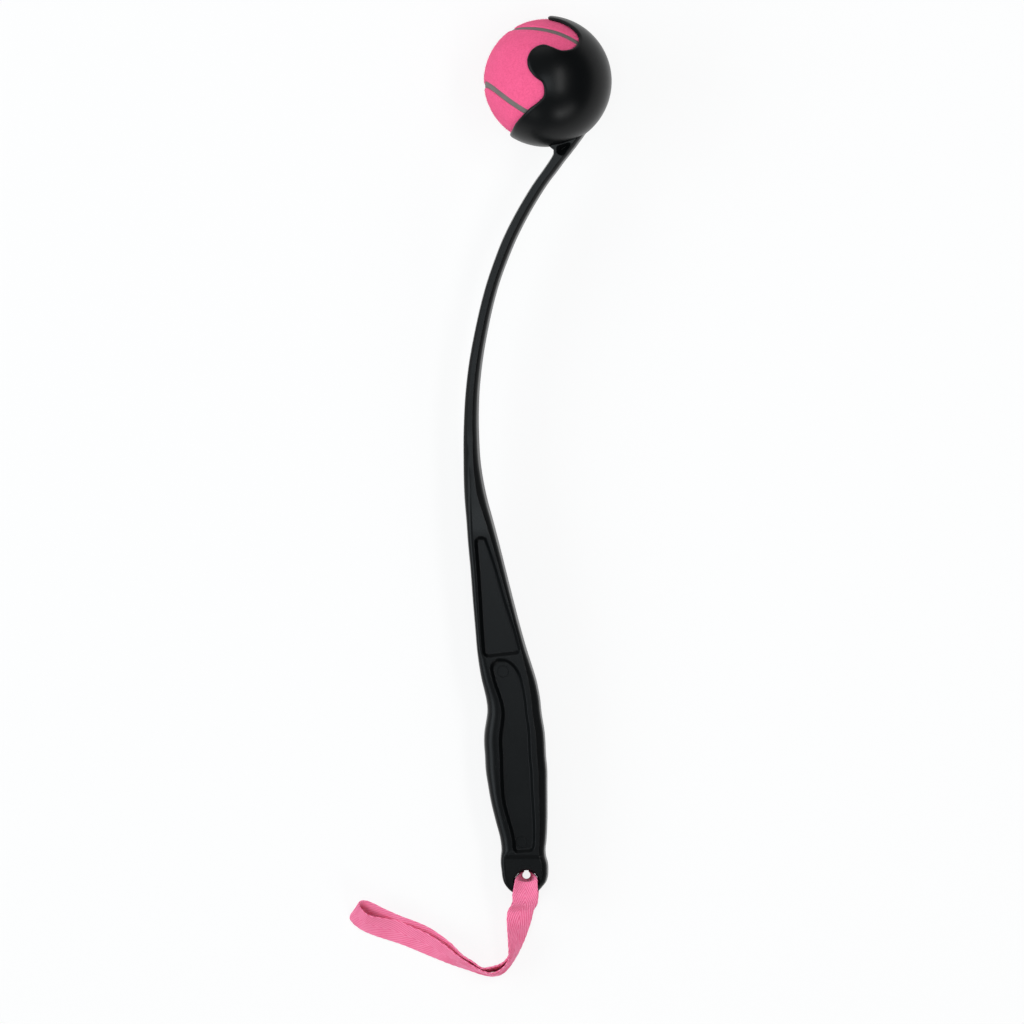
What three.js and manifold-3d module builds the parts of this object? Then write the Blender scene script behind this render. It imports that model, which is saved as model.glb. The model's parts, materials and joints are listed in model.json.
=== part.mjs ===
// Dog ball thrower: a moulded arm with a snap cup at one end and a handle at the other, a felt ball held in
// the cup, and a woven wrist strap looped through the hole in the end of the handle.
// Millimetres, +Z up. The thrower lies on its side, with +Y running from the handle to the cup. The origin is
// under the middle of the whole, on the surface that it lies on.

import * as THREE from "three";
import { mergeVertices } from "three/addons/utils/BufferGeometryUtils.js";
import Module from "manifold-3d";

const wasm = await Module();
wasm.setup();

// Ball
const ballDiameter = 63.5;
const feltThickness = 3.2;
const coreWall = 3.6;
const cementGap = 0.3;
const seamWidth = 1.9;
const seamHeight = 2.6;
const feltSeamGap = 0.3;
const feltEdgeDrop = 0.5;
const feltEdgeRun = 0.9;
const seamWaveShare = 0.25;
const ballTurnDegrees = [90.8, 322.7, 63.3];

// Cup: the ball's clearance, the wall, and the direction in which the open side faces
const ballClearance = 0.3;
const cupWall = 1.6;
const mouthTiltDegrees = 18;
const cupPoleDegrees = 40;

// Arm and handle: reach runs from the middle of the cup to the middle of the strap hole
const reach = 410;
const armBow = 38.1;
const armWidth = 7.7;
const armThickness = 17;
const gripWidth = 32.2;
const gripThickness = 24;
const bossThickness = 22.6;
const partingDraft = 0.25;
const strapHoleDiameter = 12.3;
const strapHoleOffset = 10;
const strapHoleLead = 0.8;
const cutOverrun = 2;

// Recessed panels of the handle: depth, run of the sloping walls, and the roundings of their corners. The top
// of the grip panel is rounded further down its finger side than its palm side.
const panelDepth = 2.2;
const panelWallRun = 1.5;
const frontPanelPalmCorner = 3;
const frontPanelFingerCorner = 1.6;
const frontPanelEndCorner = 3;
const frontPanelEndDegrees = 6.6;
const gripPanelPalmCorner = 6.2;
const gripPanelFingerCorner = 6.8;
const gripPanelFingerRun = 9.5;
const gripPanelEndCorner = 2.6;
const gripPanelEndDegrees = 4.6;

// Small recess where the arm leaves the cup
const neckRecessDepth = 1.5;
const neckRecessRun = 0.6;

// Wrist strap: one woven tape closed into a loop
const tapeWidth = 13.3;
const tapeThickness = 0.8;
const tapeGap = 0.3;
const strapLoopLength = 90;
const edgeCurlDegrees = 3;

const ballRadius = ballDiameter / 2;
const coreRadius = ballRadius - feltThickness - cementGap;
const cupInnerRadius = ballRadius + ballClearance;
const cupRadius = cupInnerRadius + cupWall;
const radians = THREE.MathUtils.degToRad;

// Rim of the cup, from the top lobe round the near side lobe to the bottom lobe: degrees round the mouth's
// axis, from 90 at the top, and how far the rim reaches along that axis as a share of the cup's radius.
const rimReachShares = [
  [90, 0.25],
  [81, 0.24],
  [75, 0.02],
  [67, -0.21],
  [60, -0.29],
  [53, -0.31],
  [46, -0.29],
  [38, -0.21],
  [33, -0.07],
  [33.5, 0.09],
  [34, 0.22],
  [30, 0.32],
  [24, 0.37],
  [16, 0.37],
  [9, 0.31],
  [4, 0.19],
  [1, 0.05],
  [-5, -0.02],
  [-12, -0.045],
  [-18, 0],
  [-30, 0.12],
  [-51, 0.23],
  [-66, 0.25],
  [-90, 0.255],
];

// Side outline of neck, arm, handle and end boss: how far down from the cup as a share of the reach, how far
// the middle line bows out as a share of the bow, and the width as a share of the way from arm to grip.
const outlineShares = [
  [0.0462, -0.433, 0.43],
  [0.0563, -0.38, 0.385],
  [0.0638, -0.336, 0.334],
  [0.0712, -0.3, 0.28],
  [0.0762, -0.275, 0.23],
  [0.0794, -0.224, 0.318],
  [0.0813, -0.23, 0.25],
  [0.0838, -0.235, 0.166],
  [0.0862, -0.237, 0.1],
  [0.0912, -0.212, 0.05],
  [0.0988, -0.155, 0.02],
  [0.1113, -0.06, 0.01],
  [0.1237, 0.04, 0],
  [0.1487, 0.213, -0.01],
  [0.1737, 0.365, -0.015],
  [0.1988, 0.497, -0.02],
  [0.2238, 0.605, -0.03],
  [0.2487, 0.7, -0.04],
  [0.2737, 0.777, -0.043],
  [0.3113, 0.868, -0.04],
  [0.3488, 0.94, -0.03],
  [0.3862, 0.985, -0.02],
  [0.4238, 1.003, 0],
  [0.4487, 1.003, 0.02],
  [0.4738, 0.994, 0.045],
  [0.4988, 0.973, 0.1],
  [0.5238, 0.938, 0.17],
  [0.5487, 0.89, 0.25],
  [0.5737, 0.845, 0.33],
  [0.6113, 0.776, 0.43],
  [0.6488, 0.71, 0.54],
  [0.6863, 0.64, 0.65],
  [0.7113, 0.59, 0.735],
  [0.7238, 0.56, 0.775],
  [0.7363, 0.528, 0.81],
  [0.7488, 0.495, 0.832],
  [0.7613, 0.464, 0.825],
  [0.7738, 0.438, 0.815],
  [0.7863, 0.425, 0.815],
  [0.7988, 0.423, 0.87],
  [0.8113, 0.423, 0.94],
  [0.8238, 0.421, 0.97],
  [0.8425, 0.41, 0.965],
  [0.8613, 0.396, 0.975],
  [0.88, 0.38, 0.93],
  [0.8988, 0.362, 0.877],
  [0.9238, 0.33, 0.775],
  [0.9488, 0.302, 0.65],
  [0.9613, 0.302, 0.61],
  [0.9688, 0.302, 0.635],
  [0.9763, 0.292, 0.675],
  [0.9863, 0.283, 0.668],
  [0.9938, 0.281, 0.645],
  [1.0013, 0.283, 0.57],
  [1.0063, 0.286, 0.45],
  [1.0113, 0.283, 0.29],
  [1.0163, 0.279, 0.03],
  [1.02, 0.276, -0.2],
];

// Bevels along the arm and handle: down share, then the widths of the left and the right bevel as shares of
// the arm's width.
const bevelShares = [
  [0.04, 0.08, 0.22],
  [0.2, 0.08, 0.22],
  [0.28, 0.14, 0.24],
  [0.37, 0.21, 0.27],
  [0.45, 0.25, 0.3],
  [0.468, 0.44, 0.5],
  [0.508, 0.47, 0.62],
  [0.548, 0.43, 0.58],
  [0.6, 0.41, 0.52],
  [0.65, 0.38, 0.45],
  [0.69, 0.34, 0.36],
  [0.71, 0.36, 0.4],
  [0.722, 0.56, 0.42],
  [0.7555, 0.74, 0.5],
  [0.7755, 0.86, 0.53],
  [0.81, 0.93, 0.57],
  [0.8617, 0.91, 0.56],
  [0.8879, 0.77, 0.55],
  [0.96, 0.72, 0.42],
  [0.97, 0.34, 0.38],
  [1.01, 0.3, 0.34],
  [1.02, 0.16, 0.16],
];

// Thickness along the same length: down share, share of the way from arm to grip, share of the way from
// there to the boss, and the bevels' drop as a share of their width.
const thicknessShares = [
  [0.04, 0, 0, 1],
  [0.44, 0, 0, 1],
  [0.5, 0.35, 0, 0.9],
  [0.56, 1, 0, 0.85],
  [0.965, 1, 0, 0.85],
  [0.972, 1, 1, 0.85],
  [1.01, 1, 1, 0.85],
  [1.02, 1, 1.9, 1],
];

// Recessed panels: down share, then the margins on the palm side and on the finger side as shares of the
// grip's width.
const frontPanelShares = [
  [0.568, 0.112, 0.185],
  [0.604, 0.108, 0.146],
  [0.648, 0.103, 0.128],
  [0.689, 0.09, 0.1],
  [0.7165, 0.092, 0.112],
];
const gripPanelShares = [
  [0.7205, 0.165, 0.222],
  [0.7555, 0.193, 0.226],
  [0.7755, 0.22, 0.226],
  [0.8055, 0.245, 0.23],
  [0.8242, 0.245, 0.238],
  [0.8617, 0.236, 0.238],
  [0.8879, 0.2, 0.226],
  [0.9384, 0.2, 0.19],
  [0.9625, 0.186, 0.178],
];

// Fineness of the facets
const rimSteps = 84;
const cupRings = 10;
const ballSpaceSegments = 64;
const ballSpaceBands = 40;
const sectionSteps = 2;
const panelSteps = 20;
const boreSegments = 32;
const coreSegments = 24;
const coreBands = 6;
const feltLengthSteps = 32;
const feltWidthSteps = 9;
const seamSteps = 76;
const strapSteps = 2;
const tapeAcrossShares = [-1, -0.5, 0, 0.5, 1];
const roundingShares = [0, 0.25, 0.5, 0.75, 1];

// Small triangular recess in the neck: down shares of the reach and sideways shares of the bow
const neckRecessShares = [
  [0.0818, 0.163],
  [0.0768, 0.323],
  [0.0798, 0.334],
  [0.0928, 0.227],
  [0.0898, 0.163],
];

// Route of the tape's two edges, as shares of the loop length from the middle of the hole, from the end of
// the boss round the bend and the loop's end and back under the boss. Each row holds the raised edge's x and
// y, the lower edge's x and y, and the lower edge's height above the surface.
const strapEdgeShares = [
  [-0.08, -0.125, 0.064, -0.125, 0.245],
  [-0.108, -0.17, 0.042, -0.171, 0.19],
  [-0.111, -0.262, 0.017, -0.262, 0.115],
  [-0.105, -0.347, -0.015, -0.347, 0.045],
  [-0.101, -0.42, -0.058, -0.432, 0.012],
  [-0.111, -0.467, -0.094, -0.486, 0],
  [-0.148, -0.506, -0.137, -0.529, 0],
  [-0.193, -0.525, -0.19, -0.543, 0],
  [-0.245, -0.515, -0.247, -0.535, 0],
  [-0.319, -0.475, -0.33, -0.508, 0],
  [-0.393, -0.424, -0.415, -0.481, 0],
  [-0.461, -0.367, -0.506, -0.447, 0],
  [-0.557, -0.304, -0.597, -0.41, 0],
  [-0.649, -0.262, -0.694, -0.37, 0],
  [-0.734, -0.225, -0.779, -0.341, 0],
  [-0.825, -0.21, -0.865, -0.313, 0],
  [-0.899, -0.193, -0.936, -0.282, 0],
  [-0.936, -0.162, -0.984, -0.247, 0],
  [-0.952, -0.137, -1.004, -0.219, 0],
  [-0.947, -0.117, -0.998, -0.193, 0],
  [-0.919, -0.111, -0.964, -0.196, 0],
  [-0.876, -0.125, -0.916, -0.219, 0],
  [-0.808, -0.159, -0.845, -0.256, 0],
  [-0.717, -0.199, -0.757, -0.304, 0],
  [-0.626, -0.233, -0.666, -0.341, 0],
  [-0.546, -0.27, -0.586, -0.381, 0],
  [-0.438, -0.347, -0.484, -0.433, 0],
  [-0.364, -0.421, -0.393, -0.464, 0],
  [-0.307, -0.458, -0.31, -0.487, 0],
  [-0.253, -0.495, -0.247, -0.514, 0],
  [-0.199, -0.489, -0.193, -0.517, 0],
  [-0.154, -0.475, -0.148, -0.504, 0],
  [-0.119, -0.452, -0.116, -0.473, 0],
  [-0.095, -0.404, -0.06, -0.42, 0],
  [-0.094, -0.336, -0.023, -0.353, 0],
  [-0.097, -0.25, 0.011, -0.267, 0],
  [-0.098, -0.165, 0.039, -0.171, 0],
  [-0.08, -0.115, 0.064, -0.115, 0],
];

// The tape where the hole carries it: x and y of the chord between its edges as shares of the hole's radius,
// the chord's height, and the tape's curl in degrees. Heights under the boss are shares of the tape's
// thickness above the surface, those in the bore are shares of half the boss's thickness, and those over the
// front lip are shares of the tape's thickness above the face.
const underBossShares = [
  [-0.05, -0.95, 0, 3],
  [0, -0.4, 0.26, 18],
  [0, 0.12, 2, 60],
];
const inBoreShares = [
  [0, 0.36, -0.4, 82],
  [0, 0.36, 0.4, 82],
  [0, 0.36, 0.88, 81],
];
const overLipShares = [
  [-0.02, 0.08, 1.9, 62],
  [-0.07, -0.5, 2.6, 36],
  [-0.11, -1.07, 1.9, 12],
];

const materials = {
  moulding: new THREE.MeshStandardMaterial({ color: 0x1b1d1f, roughness: 0.45, metalness: 0 }),
  felt: new THREE.MeshStandardMaterial({ color: 0xf46391, roughness: 0.95, metalness: 0 }),
  seamRubber: new THREE.MeshStandardMaterial({ color: 0x6c6763, roughness: 0.7, metalness: 0 }),
  coreRubber: new THREE.MeshStandardMaterial({ color: 0x4a4744, roughness: 0.8, metalness: 0 }),
  tape: new THREE.MeshStandardMaterial({ color: 0xf6789e, roughness: 0.9, metalness: 0 }),
};

// Geometry from a list of corner triples: shared corners merged, flat triangles dropped, faces turned out.
function closedGeometry(corners) {
  const loose = new THREE.BufferGeometry();
  const places = corners.flatMap((corner) => corner.toArray());
  loose.setAttribute("position", new THREE.Float32BufferAttribute(places, 3));
  const merged = mergeVertices(loose);
  const index = [];
  for (let i = 0; i < merged.index.count; i += 3) {
    const [a, b, c] = [0, 1, 2].map((k) => merged.index.getX(i + k));
    if (a !== b && b !== c && a !== c) index.push(a, b, c);
  }
  const point = (k) => new THREE.Vector3().fromBufferAttribute(merged.attributes.position, k);
  let volume = 0;
  for (let i = 0; i < index.length; i += 3) {
    volume += point(index[i]).dot(point(index[i + 1]).cross(point(index[i + 2])));
  }
  if (volume < 0) index.reverse();
  merged.setIndex(index);
  return merged;
}

// Skin between two rings of points; a ring that closes on itself joins its last point to its first.
function skin(corners, ringA, ringB) {
  for (let i = 0; i < ringA.length; i += 1) {
    const next = (i + 1) % ringA.length;
    corners.push(ringA[i], ringA[next], ringB[next]);
    corners.push(ringA[i], ringB[next], ringB[i]);
  }
}

// Loft through rings of points with as many points each. Its ends are closed flat unless it runs round.
function loft(rings, runsRound = false) {
  const corners = [];
  const spans = runsRound ? rings.length : rings.length - 1;
  for (let i = 0; i < spans; i += 1) {
    skin(corners, rings[i], rings[(i + 1) % rings.length]);
  }
  if (!runsRound) {
    closeEnd(corners, rings[0], false);
    closeEnd(corners, rings[rings.length - 1], true);
  }
  return closedGeometry(corners);
}

// Flat end of a loft: strips from one side of the ring straight across to the other side
function closeEnd(corners, ring, turned) {
  const last = ring.length - 1;
  for (let i = 0; i < last - i; i += 1) {
    const strip = [ring[i], ring[i + 1], ring[last - i - 1], ring[last - i]];
    if (turned) strip.reverse();
    corners.push(strip[0], strip[2], strip[1], strip[0], strip[3], strip[2]);
  }
}

function solidOf(geometry) {
  const plain = geometry.clone();
  plain.deleteAttribute("normal");
  plain.deleteAttribute("uv");
  const merged = mergeVertices(plain);
  const vertProperties = merged.attributes.position.array;
  const triVerts = new Uint32Array(merged.index.array);
  return new wasm.Manifold(new wasm.Mesh({ numProp: 3, vertProperties, triVerts }));
}

function geometryOf(solid) {
  const mesh = solid.getMesh();
  const geometry = new THREE.BufferGeometry();
  geometry.setAttribute("position", new THREE.Float32BufferAttribute(mesh.vertProperties, mesh.numProp));
  geometry.setIndex(new THREE.BufferAttribute(mesh.triVerts, 1));
  return geometry;
}

function named(name, geometry, material) {
  const mesh = new THREE.Mesh(geometry, material);
  mesh.name = name;
  mesh.geometry.computeVertexNormals();
  return mesh;
}

// Point part of the way along the great circle between two unit directions
function between(from, to, share) {
  const angle = from.angleTo(to);
  if (angle < 1e-6) return from.clone();
  const a = Math.sin((1 - share) * angle) / Math.sin(angle);
  const b = Math.sin(share * angle) / Math.sin(angle);
  return from.clone().multiplyScalar(a).addScaledVector(to, b);
}

// Values of a table at a place along it, each on a straight line between the rows on either side
function valuesAt(table, place) {
  const last = table.length - 1;
  let i = table.findIndex((row) => row[0] > place) - 1;
  if (i === -2) return table[last].slice(1);
  i = Math.max(i, 0);
  const [low, high] = [table[i], table[i + 1]];
  const share = Math.min(Math.max((place - low[0]) / (high[0] - low[0]), 0), 1);
  return low.slice(1).map((value, k) => value + (high[k + 1] - value) * share);
}

// Unit directions round the rim, the far side mirroring the near side
function rimDirections() {
  const tilt = radians(mouthTiltDegrees);
  const mouth = new THREE.Vector3(-Math.cos(tilt), Math.sin(tilt), 0);
  const top = new THREE.Vector3(Math.sin(tilt), Math.cos(tilt), 0);
  const near = rimReachShares.map(([degrees, share]) => {
    const round = Math.sqrt(1 - share * share);
    const angle = radians(degrees);
    return mouth
      .clone()
      .multiplyScalar(share)
      .addScaledVector(top, round * Math.sin(angle))
      .add(new THREE.Vector3(0, 0, round * Math.cos(angle)));
  });
  const far = near
    .slice(1, -1)
    .reverse()
    .map((p) => new THREE.Vector3(p.x, p.y, -p.z));
  const curve = new THREE.CatmullRomCurve3([...near, ...far], true, "centripetal");
  return curve
    .getSpacedPoints(rimSteps)
    .slice(0, rimSteps)
    .map((p) => p.normalize());
}

// Ball cup: a thin ball shell swept from its lobed rim to the pole that faces away from the mouth, with the
// edge of the rim rounded over.
function cupShell() {
  const rim = rimDirections();
  const poleAngle = radians(cupPoleDegrees);
  const pole = new THREE.Vector3(Math.cos(poleAngle), -Math.sin(poleAngle), 0);
  const outward = rim.map((direction, i) => {
    const along = rim[(i + 1) % rim.length].clone().sub(rim[(i + rim.length - 1) % rim.length]);
    const side = along.cross(direction).normalize();
    return side.dot(pole) > 0 ? side.negate() : side;
  });
  const ringAt = (radius, share) => rim.map((p) => between(p, pole, share).multiplyScalar(radius));
  const rings = [];
  for (let k = cupRings; k >= 0; k -= 1) rings.push(ringAt(cupInnerRadius, k / cupRings));
  for (const degrees of [45, 90, 135]) {
    const angle = radians(degrees);
    const radius = cupInnerRadius + (cupWall / 2) * (1 - Math.cos(angle));
    const push = (cupWall / 2) * Math.sin(angle);
    rings.push(rim.map((p, i) => p.clone().multiplyScalar(radius).addScaledVector(outward[i], push)));
  }
  for (let k = 0; k <= cupRings; k += 1) rings.push(ringAt(cupRadius, k / cupRings));
  const corners = [];
  for (let i = 0; i < rings.length - 1; i += 1) skin(corners, rings[i], rings[i + 1]);
  return closedGeometry(corners);
}

// Smooth curve through the rows of the outline
function handleCurve() {
  return new THREE.CatmullRomCurve3(
    outlineShares.map((row) => new THREE.Vector3(...row)),
    false,
    "centripetal",
  );
}

// Station of the arm or handle, from a row of the outline: left and right edges, bevels, half thickness
function stationOf(row) {
  const [leftBevelShare, rightBevelShare] = valuesAt(bevelShares, row.x);
  const [gripShare, bossShare, dropShare] = valuesAt(thicknessShares, row.x);
  const middle = -armBow * row.y;
  const width = armWidth + (gripWidth - armWidth) * row.z;
  const grip = armThickness + (gripThickness - armThickness) * gripShare;
  const thickness = grip + (bossThickness - gripThickness) * bossShare;
  return {
    y: -reach * row.x,
    left: middle - width / 2,
    right: middle + width / 2,
    half: thickness / 2,
    leftBevel: Math.min(armWidth * leftBevelShare, width / 3),
    rightBevel: Math.min(armWidth * rightBevelShare, width / 3),
    dropShare,
    roundShare: gripShare,
  };
}

// Section ring across the arm or handle: rounded on the palm side, bevelled on the finger side, and drafted
// both ways from the parting line.
function sectionRing(station) {
  const { y, left, right, half, leftBevel, rightBevel, dropShare, roundShare } = station;
  const leftEdge = half - leftBevel * dropShare;
  const rightEdge = half - rightBevel * dropShare;
  const upper = [[left, 0]];
  for (const share of roundingShares) {
    const angle = (share * Math.PI) / 2;
    const across = share + (1 - Math.cos(angle) - share) * roundShare;
    const up = share + (Math.sin(angle) - share) * roundShare;
    const draft = partingDraft * (1 - share);
    upper.push([left + draft + (leftBevel - draft) * across, leftEdge + (half - leftEdge) * up]);
  }
  upper.push([right - rightBevel, half]);
  upper.push([right - partingDraft, rightEdge]);
  upper.push([right, 0]);
  const lower = upper.slice(1, -1).map(([x, z]) => [x, -z]);
  return [...upper, ...lower.reverse()].map(([x, z]) => new THREE.Vector3(x, y, z));
}

function handleStations() {
  const curve = handleCurve();
  const count = (outlineShares.length - 1) * sectionSteps;
  return Array.from({ length: count + 1 }, (_, i) => stationOf(curve.getPoint(i / count)));
}

// Station at one down share, found between the lofted ones
function stationAt(downShare) {
  const rows = outlineShares.map(([down, sway, spread]) => [down, sway, spread]);
  const [sway, spread] = valuesAt(rows, downShare);
  return stationOf(new THREE.Vector3(downShare, sway, spread));
}

// How far a rounded corner draws a side in, at a distance from the end that the corner turns into
function cornerDraw(across, run, away) {
  if (away >= run) return 0;
  const share = 1 - away / run;
  return across * (1 - Math.sqrt(1 - share * share));
}

// Outline of a recessed panel, from its margins and corners; inset draws it in on all sides
function panelOutline({ shares, palm, finger, end, endDegrees }, inset) {
  const topShare = shares[0][0];
  const bottomShare = shares[shares.length - 1][0];
  const length = (bottomShare - topShare) * reach - 2 * inset;
  const slope = Math.tan(radians(endDegrees));
  const corner = ([across, run], away) =>
    cornerDraw(Math.max(across - inset, 0), Math.max(run - inset, 0), away);
  const palmSide = [];
  const fingerSide = [];
  for (let i = 0; i <= panelSteps; i += 1) {
    const share = (1 - Math.cos((Math.PI * i) / panelSteps)) / 2;
    const fromTop = share * length;
    const atEnd = corner([end, end], length - fromTop);
    const downShare = topShare + (inset + fromTop) / reach;
    const station = stationAt(downShare);
    const [palmShare, fingerShare] = valuesAt(shares, downShare);
    const left = station.left + palmShare * gripWidth + inset + corner(palm, fromTop) + atEnd;
    const right = station.right - fingerShare * gripWidth - inset - corner(finger, fromTop) - atEnd;
    const lean = (slope * share * (right - left)) / 2;
    palmSide.push(new THREE.Vector2(left, station.y - lean));
    fingerSide.push(new THREE.Vector2(right, station.y + lean));
  }
  return [...palmSide, ...fingerSide.reverse()];
}

// Cutter for a recess with sloping walls, from its outline at the face and its outline at the floor
function recessCutter(faceOutline, floorOutline, faceHeight, depth, side) {
  const at = (outline, z) => outline.map((p) => new THREE.Vector3(p.x, p.y, side * z));
  return solidOf(
    loft([
      at(floorOutline, faceHeight - depth),
      at(faceOutline, faceHeight),
      at(faceOutline, faceHeight + cutOverrun),
    ]),
  );
}

function panelCutter(panel, side) {
  const face = panelOutline(panel, 0);
  const floor = panelOutline(panel, panelWallRun);
  return recessCutter(face, floor, gripThickness / 2, panelDepth, side);
}

function neckRecessCutter(side) {
  const face = neckRecessShares.map(([down, across]) => new THREE.Vector2(armBow * across, -reach * down));
  const middle = face.reduce((sum, p) => sum.add(p), new THREE.Vector2()).divideScalar(face.length);
  const floor = face.map((p) => {
    const toMiddle = middle.clone().sub(p);
    return p.clone().addScaledVector(toMiddle.normalize(), neckRecessRun);
  });
  return recessCutter(face, floor, armThickness / 2, neckRecessDepth, side);
}

// Strap hole: a straight bore with a flared mouth on each face
function strapHoleCutter() {
  const radius = strapHoleDiameter / 2;
  const end = bossThickness / 2 + cutOverrun;
  const mouth = bossThickness / 2;
  const profile = [
    [0, -end],
    [radius + strapHoleLead + cutOverrun, -end],
    [radius + strapHoleLead, -mouth],
    [radius, -mouth + strapHoleLead],
    [radius, mouth - strapHoleLead],
    [radius + strapHoleLead, mouth],
    [radius + strapHoleLead + cutOverrun, end],
    [0, end],
  ].map(([x, y]) => new THREE.Vector2(x, y));
  const bore = new THREE.LatheGeometry(profile, boreSegments);
  bore.rotateX(Math.PI / 2);
  bore.translate(-strapHoleOffset, -reach, 0);
  return solidOf(bore);
}

const frontPanel = {
  shares: frontPanelShares,
  palm: [frontPanelPalmCorner, frontPanelPalmCorner],
  finger: [frontPanelFingerCorner, frontPanelFingerCorner],
  end: frontPanelEndCorner,
  endDegrees: frontPanelEndDegrees,
};

const gripPanel = {
  shares: gripPanelShares,
  palm: [gripPanelPalmCorner, gripPanelPalmCorner],
  finger: [gripPanelFingerCorner, gripPanelFingerRun],
  end: gripPanelEndCorner,
  endDegrees: gripPanelEndDegrees,
};

function mouldingGeometry() {
  const rings = handleStations().map(sectionRing);
  const midWall = cupInnerRadius + cupWall / 2;
  const ballSpace = new THREE.SphereGeometry(midWall, ballSpaceSegments, ballSpaceBands);
  let solid = solidOf(loft(rings)).subtract(solidOf(ballSpace));
  solid = solid.add(solidOf(cupShell()));
  for (const side of [1, -1]) {
    solid = solid.subtract(panelCutter(frontPanel, side));
    solid = solid.subtract(panelCutter(gripPanel, side));
    solid = solid.subtract(neckRecessCutter(side));
  }
  return geometryOf(solid.subtract(strapHoleCutter()));
}

// Half of the rubber core: a hemispherical shell, short of the joint plane by half the cement film
function coreHalf() {
  const rim = cementGap / 2;
  const arc = (radius) => {
    const start = Math.asin(rim / radius);
    return Array.from({ length: coreBands + 1 }, (_, i) => {
      const angle = start + ((Math.PI / 2 - start) * i) / coreBands;
      return new THREE.Vector2(i === coreBands ? 0 : radius * Math.cos(angle), radius * Math.sin(angle));
    });
  };
  const profile = [...arc(coreRadius - coreWall).reverse(), ...arc(coreRadius)];
  const shell = new THREE.LatheGeometry(profile, coreSegments);
  shell.deleteAttribute("normal");
  shell.deleteAttribute("uv");
  const plain = shell.toNonIndexed().attributes.position;
  const corners = Array.from({ length: plain.count }, (_, i) =>
    new THREE.Vector3().fromBufferAttribute(plain, i),
  );
  return closedGeometry(corners);
}

// Seam line of the ball on the unit sphere, and the same line moved sideways over the surface
function seamPoint(turn) {
  const wave = seamWaveShare;
  return new THREE.Vector3(
    (1 - wave) * Math.cos(turn) + wave * Math.cos(3 * turn),
    (1 - wave) * Math.sin(turn) - wave * Math.sin(3 * turn),
    2 * Math.sqrt(wave * (1 - wave)) * Math.sin(2 * turn),
  );
}

function besideSeam(turn, distance) {
  const step = 1e-3;
  const here = seamPoint(turn);
  const along = seamPoint(turn + step).sub(seamPoint(turn - step));
  const sideways = here.clone().cross(along).normalize();
  return here.addScaledVector(sideways, distance / ballRadius).normalize();
}

// Felt panel in the shape of a dog bone: arcs across the panel from one side of the seam to the other
function feltPanel() {
  const edge = seamWidth / 2 + feltSeamGap;
  const innerRadius = ballRadius - feltThickness;
  const start = (3 * Math.PI) / 4;
  const across = (distance, radius, i, j) => {
    const reachAlong = (Math.PI * i) / feltLengthSteps;
    const from = besideSeam(start - reachAlong, distance);
    const to = besideSeam(start + reachAlong, distance);
    return between(from, to, j / feltWidthSteps).multiplyScalar(radius);
  };
  const corners = [];
  const patch = (point, turned) => {
    for (let i = 0; i < feltLengthSteps; i += 1) {
      for (let j = 0; j < feltWidthSteps; j += 1) {
        const quad = [point(i, j), point(i + 1, j), point(i + 1, j + 1), point(i, j + 1)];
        if (turned) quad.reverse();
        corners.push(quad[0], quad[1], quad[2], quad[0], quad[2], quad[3]);
      }
    }
  };
  patch((i, j) => across(edge + feltEdgeRun, ballRadius, i, j), false);
  patch((i, j) => across(edge, innerRadius, i, j), true);
  const loop = (distance, radius) =>
    Array.from({ length: 2 * feltLengthSteps }, (_, k) =>
      besideSeam(start - (Math.PI * k) / feltLengthSteps, distance).multiplyScalar(radius),
    );
  const top = loop(edge + feltEdgeRun, ballRadius);
  const shoulder = loop(edge, ballRadius - feltEdgeDrop);
  const bottom = loop(edge, innerRadius);
  skin(corners, shoulder, top);
  skin(corners, bottom, shoulder);
  return closedGeometry(corners);
}

// Seam: a rubber strip that fills the line between the panels
function seamStrip() {
  const low = ballRadius - feltThickness;
  const high = low + seamHeight;
  const rings = Array.from({ length: seamSteps }, (_, i) => {
    const turn = (2 * Math.PI * i) / seamSteps;
    const left = besideSeam(turn, -seamWidth / 2);
    const right = besideSeam(turn, seamWidth / 2);
    return [
      left.clone().multiplyScalar(low),
      right.clone().multiplyScalar(low),
      right.clone().multiplyScalar(high),
      left.clone().multiplyScalar(high),
    ];
  });
  return loft(rings, true);
}

function ball() {
  const group = new THREE.Group();
  const halfA = named("ball_core_half_a", coreHalf(), materials.coreRubber);
  const halfB = named("ball_core_half_b", coreHalf(), materials.coreRubber);
  halfA.rotation.x = Math.PI / 2;
  halfB.rotation.x = -Math.PI / 2;
  const feltA = named("ball_felt_a", feltPanel(), materials.felt);
  const feltB = named("ball_felt_b", feltPanel(), materials.felt);
  feltB.rotation.x = Math.PI;
  group.add(halfA, halfB, feltA, feltB, named("ball_seam", seamStrip(), materials.seamRubber));
  group.rotation.set(...ballTurnDegrees.map(radians), "ZYX");
  return group;
}

// Tilt at which the cup and the end of the handle both lie down, the end resting on the tape under it
function restTilt(geometry) {
  const lift = tapeThickness + tapeGap;
  const places = geometry.attributes.position;
  let tilt = Math.PI / 2;
  for (let i = 0; i < places.count; i += 1) {
    const down = -places.getY(i);
    const drop = -places.getZ(i);
    if (down > reach / 2 && drop > 0) {
      const away = Math.hypot(down, drop);
      tilt = Math.min(tilt, Math.asin((cupRadius - lift) / away) - Math.atan2(drop, down));
    }
  }
  return tilt;
}

// Stations of the strap where it lies under the boss, goes up the bore and comes over the front lip. Heights
// of the first are above the surface it lies on, those of the others are in the hole's own axes.
function underStations() {
  const radius = strapHoleDiameter / 2;
  const under = underBossShares.map(([x, y, z, curl]) => [x, y, z * tapeThickness, curl]);
  return under.map(([x, y, z, curl]) => ({ x: x * radius, y: y * radius, z, curl }));
}

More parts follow.
